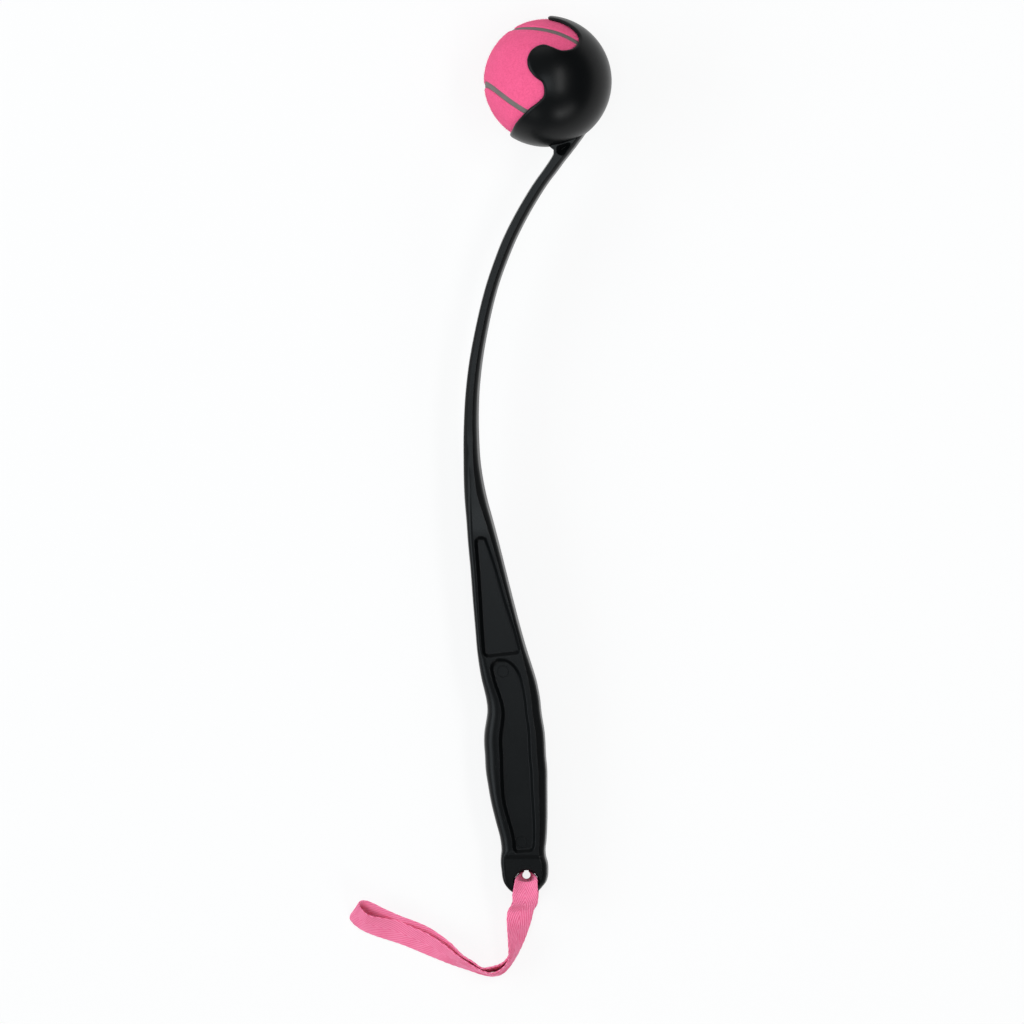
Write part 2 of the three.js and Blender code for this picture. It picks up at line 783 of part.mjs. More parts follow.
function boreStations() {
  const radius = strapHoleDiameter / 2;
  const face = bossThickness / 2;
  const inBore = inBoreShares.map(([x, y, z, curl]) => [x, y, z * face, curl]);
  const overLip = overLipShares.map(([x, y, z, curl]) => [x, y, face + z * tapeThickness, curl]);
  return [...inBore, ...overLip].map(([x, y, z, curl]) => ({ x: x * radius, y: y * radius, z, curl }));
}

// Wrist strap: a closed ribbon along its edge route and up through the hole, curled where the hole holds it
function strapGeometry(toSurface) {
  const middle = toSurface(new THREE.Vector3(-strapHoleOffset, -reach, 0));
  const rest = tapeThickness / 2;
  const stations = strapEdgeShares.map(([raisedX, raisedY, lowX, lowY, lowHeight]) => {
    const raised = new THREE.Vector3(raisedX, raisedY, 0).multiplyScalar(strapLoopLength);
    const low = new THREE.Vector3(lowX, lowY, lowHeight).multiplyScalar(strapLoopLength);
    const run = Math.min(Math.hypot(raised.x - low.x, raised.y - low.y), tapeWidth);
    raised.z = low.z + Math.sqrt(tapeWidth * tapeWidth - run * run);
    const chord = raised.clone().add(low).divideScalar(2);
    chord.add(new THREE.Vector3(middle.x, middle.y, rest));
    return { chord, across: low.sub(raised).normalize(), curl: edgeCurlDegrees };
  });
  for (const { x, y, z, curl } of underStations()) {
    const chord = new THREE.Vector3(middle.x + x, middle.y + y, rest + z);
    stations.push({ chord, across: new THREE.Vector3(1, 0, 0), curl });
  }
  for (const { x, y, z, curl } of boreStations()) {
    const chord = toSurface(new THREE.Vector3(x - strapHoleOffset, y - reach, z));
    stations.push({ chord, across: new THREE.Vector3(1, 0, 0), curl });
  }
  const chords = new THREE.CatmullRomCurve3(stations.map((s) => s.chord), true, "centripetal");
  const acrosses = new THREE.CatmullRomCurve3(stations.map((s) => s.across), true, "catmullrom");
  const curls = new THREE.CatmullRomCurve3(
    stations.map((s) => new THREE.Vector3(s.curl, 0, 0)),
    true,
    "catmullrom",
  );
  const count = stations.length * strapSteps;
  const rings = Array.from({ length: count }, (_, i) => {
    const place = i / count;
    const along = chords.getTangent(place);
    const across = acrosses.getPoint(place).normalize();
    const up = along.clone().cross(across).normalize();
    const curl = radians(Math.max(curls.getPoint(place).x, 1));
    return tapeRing(chords.getPoint(place), up, across, curl);
  });
  return loft(rings, true);
}

// Section ring of the tape, curled to an arc that keeps its width, with its chord's middle at a place
function tapeRing(place, up, across, curl) {
  const radius = tapeWidth / (2 * curl);
  const face = (side) =>
    tapeAcrossShares.map((share) => {
      const angle = curl * share;
      const outer = radius - (side * tapeThickness) / 2;
      return place
        .clone()
        .addScaledVector(across, outer * Math.sin(angle))
        .addScaledVector(up, radius * Math.cos(curl) - outer * Math.cos(angle));
    });
  return [...face(1), ...face(-1).reverse()];
}

const moulding = mouldingGeometry();
const thrower = new THREE.Group();
thrower.add(named("thrower_moulding", moulding, materials.moulding));
thrower.rotation.x = restTilt(moulding);
thrower.position.z = cupRadius;
thrower.updateMatrixWorld(true);
const strap = strapGeometry((place) => thrower.localToWorld(place));

const heldBall = ball();
heldBall.position.z = cupRadius;

const root = new THREE.Group();
root.add(thrower, heldBall, named("wrist_strap", strap, materials.tape));

const box = new THREE.Box3().setFromObject(root, true);
root.position.set(-(box.min.x + box.max.x) / 2, -(box.min.y + box.max.y) / 2, -box.min.z);

export default root;
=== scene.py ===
"""Dog ball thrower, dressed for rendering: the moulded thrower, its felt ball and its woven wrist strap.

Metres, in the frame of the CAD model: +Z up, +Y from the handle to the cup.
"""

import json
import math

import bmesh
import bpy
import numpy as np
from mathutils import Matrix, Vector


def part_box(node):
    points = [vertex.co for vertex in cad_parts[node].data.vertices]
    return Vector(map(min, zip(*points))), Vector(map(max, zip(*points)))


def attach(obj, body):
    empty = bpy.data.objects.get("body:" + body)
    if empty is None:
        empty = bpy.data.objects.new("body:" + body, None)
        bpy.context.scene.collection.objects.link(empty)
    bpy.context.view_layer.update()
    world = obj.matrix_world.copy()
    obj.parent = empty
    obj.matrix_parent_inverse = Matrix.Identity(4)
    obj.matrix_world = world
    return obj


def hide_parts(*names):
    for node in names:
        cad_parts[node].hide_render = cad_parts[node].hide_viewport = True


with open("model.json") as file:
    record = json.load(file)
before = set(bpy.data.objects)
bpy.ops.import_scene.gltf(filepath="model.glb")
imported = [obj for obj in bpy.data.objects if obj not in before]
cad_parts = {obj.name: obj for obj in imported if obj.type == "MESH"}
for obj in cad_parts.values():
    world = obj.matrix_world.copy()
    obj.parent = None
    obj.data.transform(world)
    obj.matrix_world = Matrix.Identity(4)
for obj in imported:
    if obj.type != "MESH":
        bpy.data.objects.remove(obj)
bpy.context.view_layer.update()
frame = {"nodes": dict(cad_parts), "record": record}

MM = 0.001
TINY = 1e-9

# Ball
BALL_RADIUS = 31.75 * MM
FELT_THICKNESS = 3.2 * MM
SEAM_WIDTH = 3.3 * MM
SEAM_HEIGHT = 2.7 * MM
SEAM_WAVE_SHARE = 0.25
FELT_START_TURN = 3 * math.pi / 4
FELT_EDGE_RUN = 0.8 * MM
FELT_EDGE_DROP = 0.6 * MM
BALL_TURN_DEGREES = (90.8, 322.7, 63.3)
FELT_CORE_GAP = 0.1 * MM
SEAM_SIDE_GAP = 0.02 * MM
SEAM_SHOULDER = 0.2 * MM
SEAM_CROWN = 0.04 * MM

# Fibres of the felt
FIBRES_PER_PANEL = 14000
FIBRE_SEED = 11
FIBRE_LENGTHS = (0.35 * MM, 0.9 * MM)
FIBRE_LEAN_DEGREES = (25, 75)
FIBRE_RADIUS = 0.035 * MM
FIBRE_ROOT = 0.1 * MM
FIBRE_SPREAD = 0.6
FIBRE_FOOT_TURNS = (0, 2.1, 4.2)

# Cup
CUP_INNER_RADIUS = 32.05 * MM
CUP_WALL = 1.6 * MM
RIM_LIP = 0.5 * MM
RIM_EDGE_RUN = 1 * MM
MOUTH_TILT_DEGREES = 18
CUP_POLE_DEGREES = 40

# Arm and handle
REACH = 410 * MM
ARM_BOW = 38.1 * MM
ARM_WIDTH = 7.7 * MM
ARM_THICKNESS = 17 * MM
GRIP_WIDTH = 32.2 * MM
GRIP_THICKNESS = 24 * MM
BOSS_THICKNESS = 22.6 * MM
PARTING_DRAFT = 0.25 * MM
RIDGE_FILLET = 0.5 * MM
SIDE_FILLET = 1.4 * MM
FILLET_STEPS = 4
FILLET_MOST_SHARE = 0.48
PALM_ROUND_STEPS = 10
STRAP_HOLE_RADIUS = 6.15 * MM
STRAP_HOLE_OFFSET = 10 * MM
STRAP_HOLE_LEAD = 0.8 * MM
CUT_OVERRUN = 2 * MM
FACE_OVERLAP = 0.02 * MM

# The palm's bevel, the finger side's bevel and its flare are at most the width there divided by these
PALM_BEVEL_DIVISOR = 3
FINGER_BEVEL_DIVISOR = 2.4
FLARE_DIVISOR = 6

# Recessed panels
PANEL_DEPTH = 2.2 * MM
PANEL_WALL_RUN = 1.5 * MM
PANEL_FILLET = 0.6 * MM
FRONT_PANEL_PALM_CORNER = 3 * MM
FRONT_PANEL_FINGER_CORNER = 1.6 * MM
FRONT_PANEL_END_CORNER = 3 * MM
FRONT_PANEL_END_DEGREES = 6.6
GRIP_PANEL_PALM_CORNER = 6.2 * MM
GRIP_PANEL_FINGER_CORNER = 6.8 * MM
GRIP_PANEL_FINGER_RUN = 9.5 * MM
GRIP_PANEL_END_CORNER = 2.6 * MM
GRIP_PANEL_END_DEGREES = 4.6
NECK_RECESS_DEPTH = 3.2 * MM
NECK_RECESS_RUN = 3 * MM
NECK_RECESS_FILLET = 0.25 * MM
NECK_RECESS_CORNER = 1.6 * MM
PIN_MARK_RADIUS = 2.9 * MM
PIN_MARK_GROOVE = 0.14 * MM

# Rounded edges of a recess, each place as shares of its fillet in and down: at the face, then at the floor
RECESS_TOP_ROUND = [(-0.7, 0.04), (-0.4, 0.17), (-0.15, 0.36), (0.05, 0.62), (0.25, 1)]
RECESS_FOOT_ROUND = [(-0.75, -1), (-0.55, -0.62), (-0.35, -0.36), (-0.1, -0.17), (0.2, -0.04), (0.5, 0)]

# Wrist strap
TAPE_WIDTH = 13.3 * MM
TAPE_THICKNESS = 0.8 * MM
STRAP_LOOP_LENGTH = 90 * MM
RIB_PITCH = 3.4 * MM
RIB_ANGLE_DEGREES = 19
RIB_PITCH_ACROSS = RIB_PITCH * math.tan(math.radians(RIB_ANGLE_DEGREES))
RIB_HEIGHT = 0.14 * MM
EDGE_CURL_DEGREES = 3
LEAST_CURL_DEGREES = 1
RIB_SWAY = 0.006
THINNEST_EDGE = 0.02
STITCH_WIDTH = 0.55 * MM
STITCH_LENGTH = 0.6 * MM

# Colours, each pair from the darkest to the lightest, and the sky's strength on the left and on the right
PLASTIC_COLOURS = (0.0018, 0.0022, 0.0024), (0.003, 0.0036, 0.004)
DUST_COLOUR = (0.05, 0.052, 0.05)
# Felt: its uneven tone, with the darker end also painted shade in the hollows between the tufts
FELT_TONE_AND_HOLLOW_SHADE_COLOURS = (0.8, 0.09, 0.22), (0.98, 0.14, 0.31)
FELT_SHEEN_COLOUR = (1, 0.6, 0.75, 1)
# Tape: the darker end is painted shade in the grooves between ribs and stitches, the lighter end on their
# crowns
TAPE_GROOVE_SHADE_TO_CROWN_COLOURS = (0.86, 0.105, 0.24), (1.0, 0.28, 0.46)
SEAM_COLOURS = (0.125, 0.11, 0.1), (0.185, 0.165, 0.15)
CORE_COLOURS = (0.055, 0.05, 0.046), (0.085, 0.078, 0.072)
FLOOR_COLOUR = (0.9, 0.9, 0.9, 1)
SKY_COLOUR = (0.94, 0.98, 1, 1)
SKY_STRENGTHS = (0.34, 0.12)
COOL_TINT = (0.86, 0.95, 1)

# Depths of the finest relief, and how high the tape's stitches and fibres stand as shares of its ribs
PLASTIC_GRAIN = 0.03 * MM
FELT_GRAIN = 0.5 * MM
RUBBER_GRAIN = 0.15 * MM
TAPE_GRAIN = 0.12 * MM
STITCH_SHARE = 0.22
FIBRE_SHARE = 0.5

# Dust: cells with a speck each, the radii in cells between which a speck fades, and how much it covers
DUST_CELLS_PER_METRE = 160
DUST_FADE = (0.035, 0.02)
DUST_COVER = 0.5

CUP_COLUMNS = 360
CUP_ROWS = 64
RIM_SMOOTHINGS = 16
RIM_TRACE_STEPS = 4000
HANDLE_PITCH = 2 * MM
BOSS_STATIONS = 40
BOSS_START_SHARE = 0.96
PANEL_STEPS = 60
HOLE_STEPS = 96
BALL_HOLLOW_STEPS = 128
FELT_ROWS = 150
FELT_COLUMNS = 60
SEAM_STEPS = 720
SEAM_MEASURE_STEPS = 720
TAPE_STEPS = 1050
TAPE_COLUMNS = 40
MERGE_DISTANCE = 0.0005 * MM
CUTTER_MERGE_DISTANCE = 0.0001 * MM
TAPE_MERGE_DISTANCE = 0.001 * MM
SEAM_MERGE_DISTANCE = 0.005 * MM

# Floor: how much of what the camera sees of it is plain white, the rest being its own shaded white
FLOOR_WHITE_SHARE = 0.86
FLOOR_SIZE = 24

# Camera: the size of a pixel of the photograph, and the pixel where it shows the middle of the cup
PIXEL = 0.512 * MM
IMAGE_PIXELS = 1024
CUP_PIXEL = (546, 81.5)
FRAMED_HEIGHT = 24 * MM
CAMERA_DISTANCE = 16
CAMERA_SIGHT = 50
SENSOR_WIDTH = 36

# Rim of the cup: degrees round the mouth's axis, 90 at the top, and reach along that axis in cup radii
RIM_REACH_SHARES = [
    (90, 0.25),
    (81, 0.24),
    (75, 0.02),
    (67, -0.21),
    (60, -0.29),
    (53, -0.31),
    (46, -0.29),
    (38, -0.21),
    (33, -0.07),
    (33.5, 0.09),
    (34, 0.22),
    (30, 0.32),
    (24, 0.37),
    (16, 0.37),
    (9, 0.31),
    (4, 0.19),
    (1, 0.05),
    (-5, -0.02),
    (-12, -0.045),
    (-18, 0),
    (-30, 0.12),
    (-51, 0.23),
    (-66, 0.25),
    (-90, 0.255),
]

# Outline: way down as a share of the reach, bow as a share of the arm's bow, width from arm (0) to grip (1)
OUTLINE_SHARES = [
    (0.0462, -0.433, 0.43),
    (0.0563, -0.38, 0.385),
    (0.0638, -0.336, 0.334),
    (0.0712, -0.3, 0.28),
    (0.0762, -0.275, 0.23),
    (0.0794, -0.224, 0.318),
    (0.0813, -0.23, 0.25),
    (0.0838, -0.235, 0.166),
    (0.0862, -0.237, 0.1),
    (0.0912, -0.212, 0.05),
    (0.0988, -0.155, 0.02),
    (0.1113, -0.06, 0.01),
    (0.1237, 0.04, 0),
    (0.1487, 0.213, -0.01),
    (0.1737, 0.365, -0.015),
    (0.1988, 0.497, -0.02),
    (0.2238, 0.605, -0.03),
    (0.2487, 0.7, -0.04),
    (0.2737, 0.777, -0.043),
    (0.3113, 0.868, -0.04),
    (0.3488, 0.94, -0.03),
    (0.3862, 0.985, -0.02),
    (0.4238, 1.003, 0),
    (0.4487, 1.003, 0.02),
    (0.4738, 0.994, 0.045),
    (0.4988, 0.973, 0.1),
    (0.5238, 0.938, 0.17),
    (0.5487, 0.89, 0.25),
    (0.5737, 0.845, 0.33),
    (0.6113, 0.776, 0.43),
    (0.6488, 0.71, 0.54),
    (0.6863, 0.64, 0.65),
    (0.7113, 0.59, 0.735),
    (0.7238, 0.56, 0.775),
    (0.7363, 0.528, 0.81),
    (0.7488, 0.495, 0.832),
    (0.7613, 0.464, 0.825),
    (0.7738, 0.438, 0.815),
    (0.7863, 0.425, 0.815),
    (0.7988, 0.423, 0.87),
    (0.8113, 0.423, 0.94),
    (0.8238, 0.421, 0.97),
    (0.8425, 0.41, 0.965),
    (0.8613, 0.396, 0.975),
    (0.88, 0.38, 0.93),
    (0.8988, 0.362, 0.877),
    (0.9238, 0.33, 0.775),
    (0.9488, 0.302, 0.65),
    (0.9613, 0.302, 0.61),
    (0.9688, 0.302, 0.635),
    (0.9763, 0.292, 0.675),
    (0.9863, 0.283, 0.668),
    (0.9938, 0.281, 0.645),
    (1.0013, 0.283, 0.57),
    (1.0063, 0.286, 0.45),
    (1.0113, 0.283, 0.29),
    (1.0163, 0.279, 0.03),
    (1.02, 0.276, -0.2),
]

# Way down, then widths of the palm's bevel, the finger side's bevel and its flare, as shares of the arm's
BEVEL_SHARES = [
    (0.04, 0.08, 0.42, 0.17),
    (0.2, 0.08, 0.42, 0.17),
    (0.28, 0.14, 0.42, 0.17),
    (0.37, 0.21, 0.42, 0.17),
    (0.45, 0.25, 0.42, 0.17),
    (0.468, 0.44, 0.52, 0.17),
    (0.508, 0.47, 0.62, 0.17),
    (0.548, 0.43, 0.5, 0.15),
    (0.6, 0.41, 0.4, 0.13),
    (0.65, 0.38, 0.34, 0.13),
    (0.69, 0.34, 0.33, 0.13),
    (0.71, 0.36, 0.37, 0.14),
    (0.722, 0.56, 0.42, 0.12),
    (0.7555, 0.74, 0.54, 0.11),
    (0.7755, 0.86, 0.57, 0.1),
    (0.81, 0.93, 0.6, 0.1),
    (0.8617, 0.91, 0.58, 0.1),
    (0.8879, 0.77, 0.57, 0.1),
    (0.96, 0.72, 0.44, 0.1),
    (0.97, 0.34, 0.42, 0.1),
    (1.01, 0.3, 0.36, 0.1),
    (1.02, 0.16, 0.16, 0.05),
]

# Way down, thickness from arm (0) to grip (1) and on to the boss (1), and the bevels' drop to their width
THICKNESS_SHARES = [
    (0.04, 0, 0, 1),
    (0.44, 0, 0, 1),
    (0.5, 0.35, 0, 0.9),
    (0.56, 1, 0, 0.85),
    (0.9668, 1, 0, 0.85),
    (0.9694, 1, 1, 0.85),
    (1.01, 1, 1, 0.85),
    (1.02, 1, 1.9, 1),
]

# Recessed panels: way down, then margins on the palm side and the finger side as shares of the grip's width
FRONT_PANEL_SHARES = [
    (0.568, 0.112, 0.185),
    (0.604, 0.108, 0.146),
    (0.648, 0.103, 0.128),
    (0.689, 0.09, 0.1),
    (0.7165, 0.092, 0.112),
]
GRIP_PANEL_SHARES = [
    (0.7205, 0.165, 0.222),
    (0.7555, 0.193, 0.226),
    (0.7755, 0.22, 0.226),
    (0.8055, 0.245, 0.23),
    (0.8242, 0.245, 0.238),
    (0.8617, 0.236, 0.238),
    (0.8879, 0.2, 0.226),
    (0.9384, 0.2, 0.19),
    (0.9625, 0.186, 0.178),
]

# Corners of the recess at the neck: way down, and how far to the palm's far side as a share of the bow
NECK_RECESS_SHARES = [(0.08, 0.141), (0.075, 0.32), (0.0785, 0.334), (0.0928, 0.227), (0.0896, 0.143)]

# Pin marks on the floor of the grip's panel: way down, and how far out as a share of the bow
PIN_MARK_SHARES = [(0.7363, 0.578), (0.9498, 0.328)]

# Route of the tape, in loop lengths from the hole's middle: raised edge's x, y, and lower edge's x, y, height
STRAP_EDGE_SHARES = [
    (-0.08, -0.125, 0.064, -0.125, 0.245),
    (-0.108, -0.17, 0.042, -0.171, 0.19),
    (-0.111, -0.262, 0.017, -0.262, 0.115),
    (-0.105, -0.347, -0.015, -0.347, 0.045),
    (-0.101, -0.42, -0.058, -0.432, 0.012),
    (-0.111, -0.467, -0.094, -0.486, 0),
    (-0.148, -0.506, -0.137, -0.529, 0),
    (-0.193, -0.525, -0.19, -0.543, 0),
    (-0.245, -0.515, -0.247, -0.535, 0),
    (-0.319, -0.475, -0.33, -0.508, 0),
    (-0.393, -0.424, -0.415, -0.481, 0),
    (-0.461, -0.367, -0.506, -0.447, 0),
    (-0.557, -0.304, -0.597, -0.41, 0),
    (-0.649, -0.262, -0.694, -0.37, 0),
    (-0.734, -0.225, -0.779, -0.341, 0),
    (-0.825, -0.21, -0.865, -0.313, 0),
    (-0.899, -0.193, -0.936, -0.282, 0),
    (-0.936, -0.162, -0.984, -0.247, 0),
    (-0.952, -0.137, -1.004, -0.219, 0),
    (-0.947, -0.117, -0.998, -0.193, 0),
    (-0.919, -0.111, -0.964, -0.196, 0),
    (-0.876, -0.125, -0.916, -0.219, 0),
    (-0.808, -0.159, -0.845, -0.256, 0),
    (-0.717, -0.199, -0.757, -0.304, 0),
    (-0.626, -0.233, -0.666, -0.341, 0),
    (-0.546, -0.27, -0.586, -0.381, 0),
    (-0.438, -0.347, -0.484, -0.433, 0),
    (-0.364, -0.421, -0.393, -0.464, 0),
    (-0.307, -0.458, -0.31, -0.487, 0),
    (-0.253, -0.495, -0.247, -0.514, 0),
    (-0.199, -0.489, -0.193, -0.517, 0),
    (-0.154, -0.475, -0.148, -0.504, 0),
    (-0.119, -0.452, -0.116, -0.473, 0),
    (-0.095, -0.404, -0.06, -0.42, 0),
    (-0.094, -0.336, -0.023, -0.353, 0),
    (-0.097, -0.25, 0.011, -0.267, 0),
    (-0.098, -0.165, 0.039, -0.171, 0),
    (-0.08, -0.115, 0.064, -0.115, 0),
]

# Tape under the boss: x and y in hole radii, height over the floor in tape thicknesses, and curl in degrees
UNDER_BOSS = [(-0.05, -0.95, 0, 3), (0, -0.35, 0.26, 18), (0, 0.3, 2.0, 62)]

# Tape in the hole, its height as a share of half the boss, and over the lip, in tape thicknesses above the boss
IN_HOLE = [(0, 0.8, -0.4, 132), (0, 0.85, 0.1, 152), (0, 0.6, 0.7, 92)]
OVER_LIP = [(-0.02, 0.3, 1.6, 59), (-0.07, -0.45, 2.5, 38), (-0.11, -1.07, 1.9, 12)]


def ball_place():
    """The middle of the ball and the cup, from the two halves of the ball's core."""
    corners = [c for node in ("ball_core_half_a", "ball_core_half_b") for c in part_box(node)]
    low = Vector([min(c[k] for c in corners) for k in range(3)])
    high = Vector([max(c[k] for c in corners) for k in range(3)])
    return (low + high) / 2


def thrower_place():
    """The moulding's own frame: its origin in the cup, tilted until both ends lie down."""
    facing = frame["record"]["mounts"][0]["axis"]
    tilt = math.atan2(-facing[1], facing[2])
    return Matrix.Translation(ball_place()) @ Matrix.Rotation(tilt, 4, "X")


def deselect():
    bpy.ops.object.select_all(action="DESELECT")


def only(piece):
    """Makes a piece the only one selected, and the active one."""
    deselect()
    piece.select_set(True)
    bpy.context.view_layer.objects.active = piece


def apply_modifier(piece, kind, **settings):
    only(piece)
    modifier = piece.modifiers.new(kind.lower(), kind)
    for name, value in settings.items():
        setattr(modifier, name, value)
    bpy.ops.object.modifier_apply(modifier=modifier.name)


def laid_grid(name, places, merge=MERGE_DISTANCE, cap_ends=False):
    """A grid laid on the places of an array, rows by columns by three, with its seams merged."""
    rows, columns = places.shape[:2]
    deselect()
    bpy.ops.mesh.primitive_grid_add(x_subdivisions=columns - 1, y_subdivisions=rows - 1)
    piece = bpy.context.object
    piece.name = name
    piece.data.name = name
    piece.data.vertices.foreach_set("co", places.reshape(-1).astype(np.float32))
    bpy.ops.object.mode_set(mode="EDIT")
    bpy.ops.mesh.select_all(action="SELECT")
    bpy.ops.mesh.remove_doubles(threshold=merge)
    if cap_ends:
        bpy.ops.mesh.select_all(action="DESELECT")
        bpy.ops.mesh.select_non_manifold()
        bpy.ops.mesh.fill_holes(sides=0)
    bpy.ops.mesh.select_all(action="SELECT")
    bpy.ops.mesh.normals_make_consistent(inside=False)
    if bmesh.from_edit_mesh(piece.data).calc_volume(signed=True) < 0:
        bpy.ops.mesh.flip_normals()
    bpy.ops.object.mode_set(mode="OBJECT")
    return piece


def cut(piece, cutter, operation="DIFFERENCE"):
    apply_modifier(piece, "BOOLEAN", object=cutter, operation=operation, solver="EXACT")
    bpy.data.objects.remove(cutter)


def smooth(piece, degrees):
    only(piece)
    bpy.ops.object.shade_smooth_by_angle(angle=math.radians(degrees))


def along(table, place):
    """Values of a table at a place along it, on straight lines between its rows."""
    columns = np.array(table, float).T
    return [float(np.interp(place, columns[0], column)) for column in columns[1:]]


def smooth_step(start, end, leaving, arriving, share):
    """Places part of the way along curves from start to end, with the directions they leave and arrive in."""
    return (
        start * (2 * share**3 - 3 * share**2 + 1)
        + leaving * (share**3 - 2 * share**2 + share)
        + end * (3 * share**2 - 2 * share**3)
        + arriving * (share**3 - share**2)
    )


def smoothly_along(table, places):
    """Values of a table at places along it, on one smooth curve through its rows."""
    rows = np.array(table, float)
    x = rows[:, 0]
    slopes = np.gradient(rows, x, axis=0)
    i = np.clip(np.searchsorted(x, places, side="right") - 1, 0, len(x) - 2)
    run = (x[i + 1] - x[i])[:, None]
    share = ((places - x[i]) / run[:, 0])[:, None]
    return smooth_step(rows[i], rows[i + 1], slopes[i] * run, slopes[i + 1] * run, share)


def round_curve(points, count, power=0.5):
    """Places on a closed curve through points, equally many between each two of them."""
    p = np.array(points, float)
    size = len(p)
    place = np.arange(count) * size / count
    i = np.floor(place).astype(int)
    p0, p1, p2, p3 = (p[(i + k) % size] for k in (-1, 0, 1, 2))
    d0, d1, d2 = (
        np.maximum(np.linalg.norm(b - a, axis=1, keepdims=True) ** power, TINY)
        for a, b in ((p0, p1), (p1, p2), (p2, p3))
    )
    start = ((p1 - p0) / d0 - (p2 - p0) / (d0 + d1) + (p2 - p1) / d1) * d1
    end = ((p2 - p1) / d1 - (p3 - p1) / (d1 + d2) + (p3 - p2) / d2) * d1
    return smooth_step(p1, p2, start, end, (place - i)[:, None])


def unit(vectors):
    return vectors / np.linalg.norm(vectors, axis=-1, keepdims=True)


def between(start, end, share):
    """Directions part of the way round the great circles from start to end."""
    angle = np.arccos(np.clip((start * end).sum(-1, keepdims=True), -1, 1))
    sine = np.maximum(np.sin(angle), TINY)
    return unit(start * np.sin((1 - share) * angle) / sine + end * np.sin(share * angle) / sine)


def rim_directions(count):
    """Unit directions round the rim of the cup, the far side mirroring the near side."""
    tilt = math.radians(MOUTH_TILT_DEGREES)
    mouth = np.array([-math.cos(tilt), math.sin(tilt), 0])
    top = np.array([math.sin(tilt), math.cos(tilt), 0])
    near = []
    for degrees, share in RIM_REACH_SHARES:
        wide = math.sqrt(1 - share * share)
        angle = math.radians(degrees)
        sideways = np.array([0, 0, wide * math.cos(angle)])
        near.append(mouth * share + top * wide * math.sin(angle) + sideways)
    far = [p * [1, 1, -1] for p in near[-2:0:-1]]
    fine = round_curve(near + far, RIM_TRACE_STEPS)
    run = np.cumsum(np.linalg.norm(fine - np.roll(fine, 1, axis=0), axis=1))
    even = np.arange(count) * run[-1] / count
    return unit(np.stack([np.interp(even, run, fine[:, k]) for k in range(3)], axis=1))


def ball_cup():
    """The cup: a thin shell from its lobed, rounded rim to the pole that faces away from the mouth."""
    rings = CUP_ROWS
    rim = rim_directions(CUP_COLUMNS)
    pole_angle = math.radians(CUP_POLE_DEGREES)
    pole = np.array([math.cos(pole_angle), -math.sin(pole_angle), 0])
    side = unit(np.cross(np.roll(rim, -1, axis=0) - np.roll(rim, 1, axis=0), rim))
    outward = -side if (side @ pole).sum() > 0 else side
    reach = CUP_WALL / 2
    outer = CUP_INNER_RADIUS + CUP_WALL
    back = unit(rim - outward * RIM_EDGE_RUN / outer)
    for _ in range(RIM_SMOOTHINGS):
        back = unit(np.roll(back, 1, axis=0) + 2 * back + np.roll(back, -1, axis=0))
    rows = [between(rim, pole, k / rings) * CUP_INNER_RADIUS for k in range(rings, -1, -1)]
    for degrees in range(15, 91, 15):
        angle = math.radians(degrees)
        radius = CUP_INNER_RADIUS + RIM_LIP * (1 - math.cos(angle))
        rows.append(rim * radius + outward * reach * math.sin(angle))
    edge = rows[-1]
    rise = rim * ((back * outer - edge) * rim).sum(axis=1, keepdims=True)
    inward = back * outer - edge - rise
    for degrees in range(10, 91, 10):
        angle = math.radians(degrees)
        rows.append(edge + inward * (1 - math.cos(angle)) + rise * math.sin(angle))
    rows += [between(back, pole, k / rings) * outer for k in range(1, rings + 1)]
    places = np.array(rows)
    return laid_grid("cup", np.concatenate([places, places[:, :1]], axis=1))


def station(row):
    """Edges, bevels and half thickness of the handle from an outline row."""
    down, sway, spread = row
    left_bevel, right_bevel, flare = along(BEVEL_SHARES, down)
    grip_share, boss_share, drop_share = along(THICKNESS_SHARES, down)
    middle = -ARM_BOW * sway
    width = ARM_WIDTH + (GRIP_WIDTH - ARM_WIDTH) * spread
    thickness = ARM_THICKNESS + (GRIP_THICKNESS - ARM_THICKNESS) * grip_share
    thickness += (BOSS_THICKNESS - GRIP_THICKNESS) * boss_share
    return {
        "y": -REACH * down,
        "left": middle - width / 2,
        "right": middle + width / 2,
        "half": thickness / 2,
        "left_bevel": min(ARM_WIDTH * left_bevel, width / PALM_BEVEL_DIVISOR),
        "right_bevel": min(ARM_WIDTH * right_bevel, width / FINGER_BEVEL_DIVISOR),
        "flare": min(ARM_WIDTH * flare, width / FLARE_DIVISOR),
        "drop_share": drop_share,
        "round_share": grip_share,
    }


def filleted(corners):
    """An open line through corners of the form (x, y, radius), rounded where there is a radius.

    A rounding takes no more than FILLET_MOST_SHARE of the straight to the next corner.
    """
    points = []
    for i, (x, y, radius) in enumerate(corners):
        here = np.array([x, y])
        if not radius:
            points.append(here)
            continue
        before = np.array(corners[i - 1][:2]) - here
        after = np.array(corners[i + 1][:2]) - here
        before *= min(radius / np.linalg.norm(before), FILLET_MOST_SHARE)
        after *= min(radius / np.linalg.norm(after), FILLET_MOST_SHARE)
        for k in range(FILLET_STEPS + 1):
            t = k / FILLET_STEPS
            points.append(here + before * (1 - t) ** 2 + after * t**2)
    return points


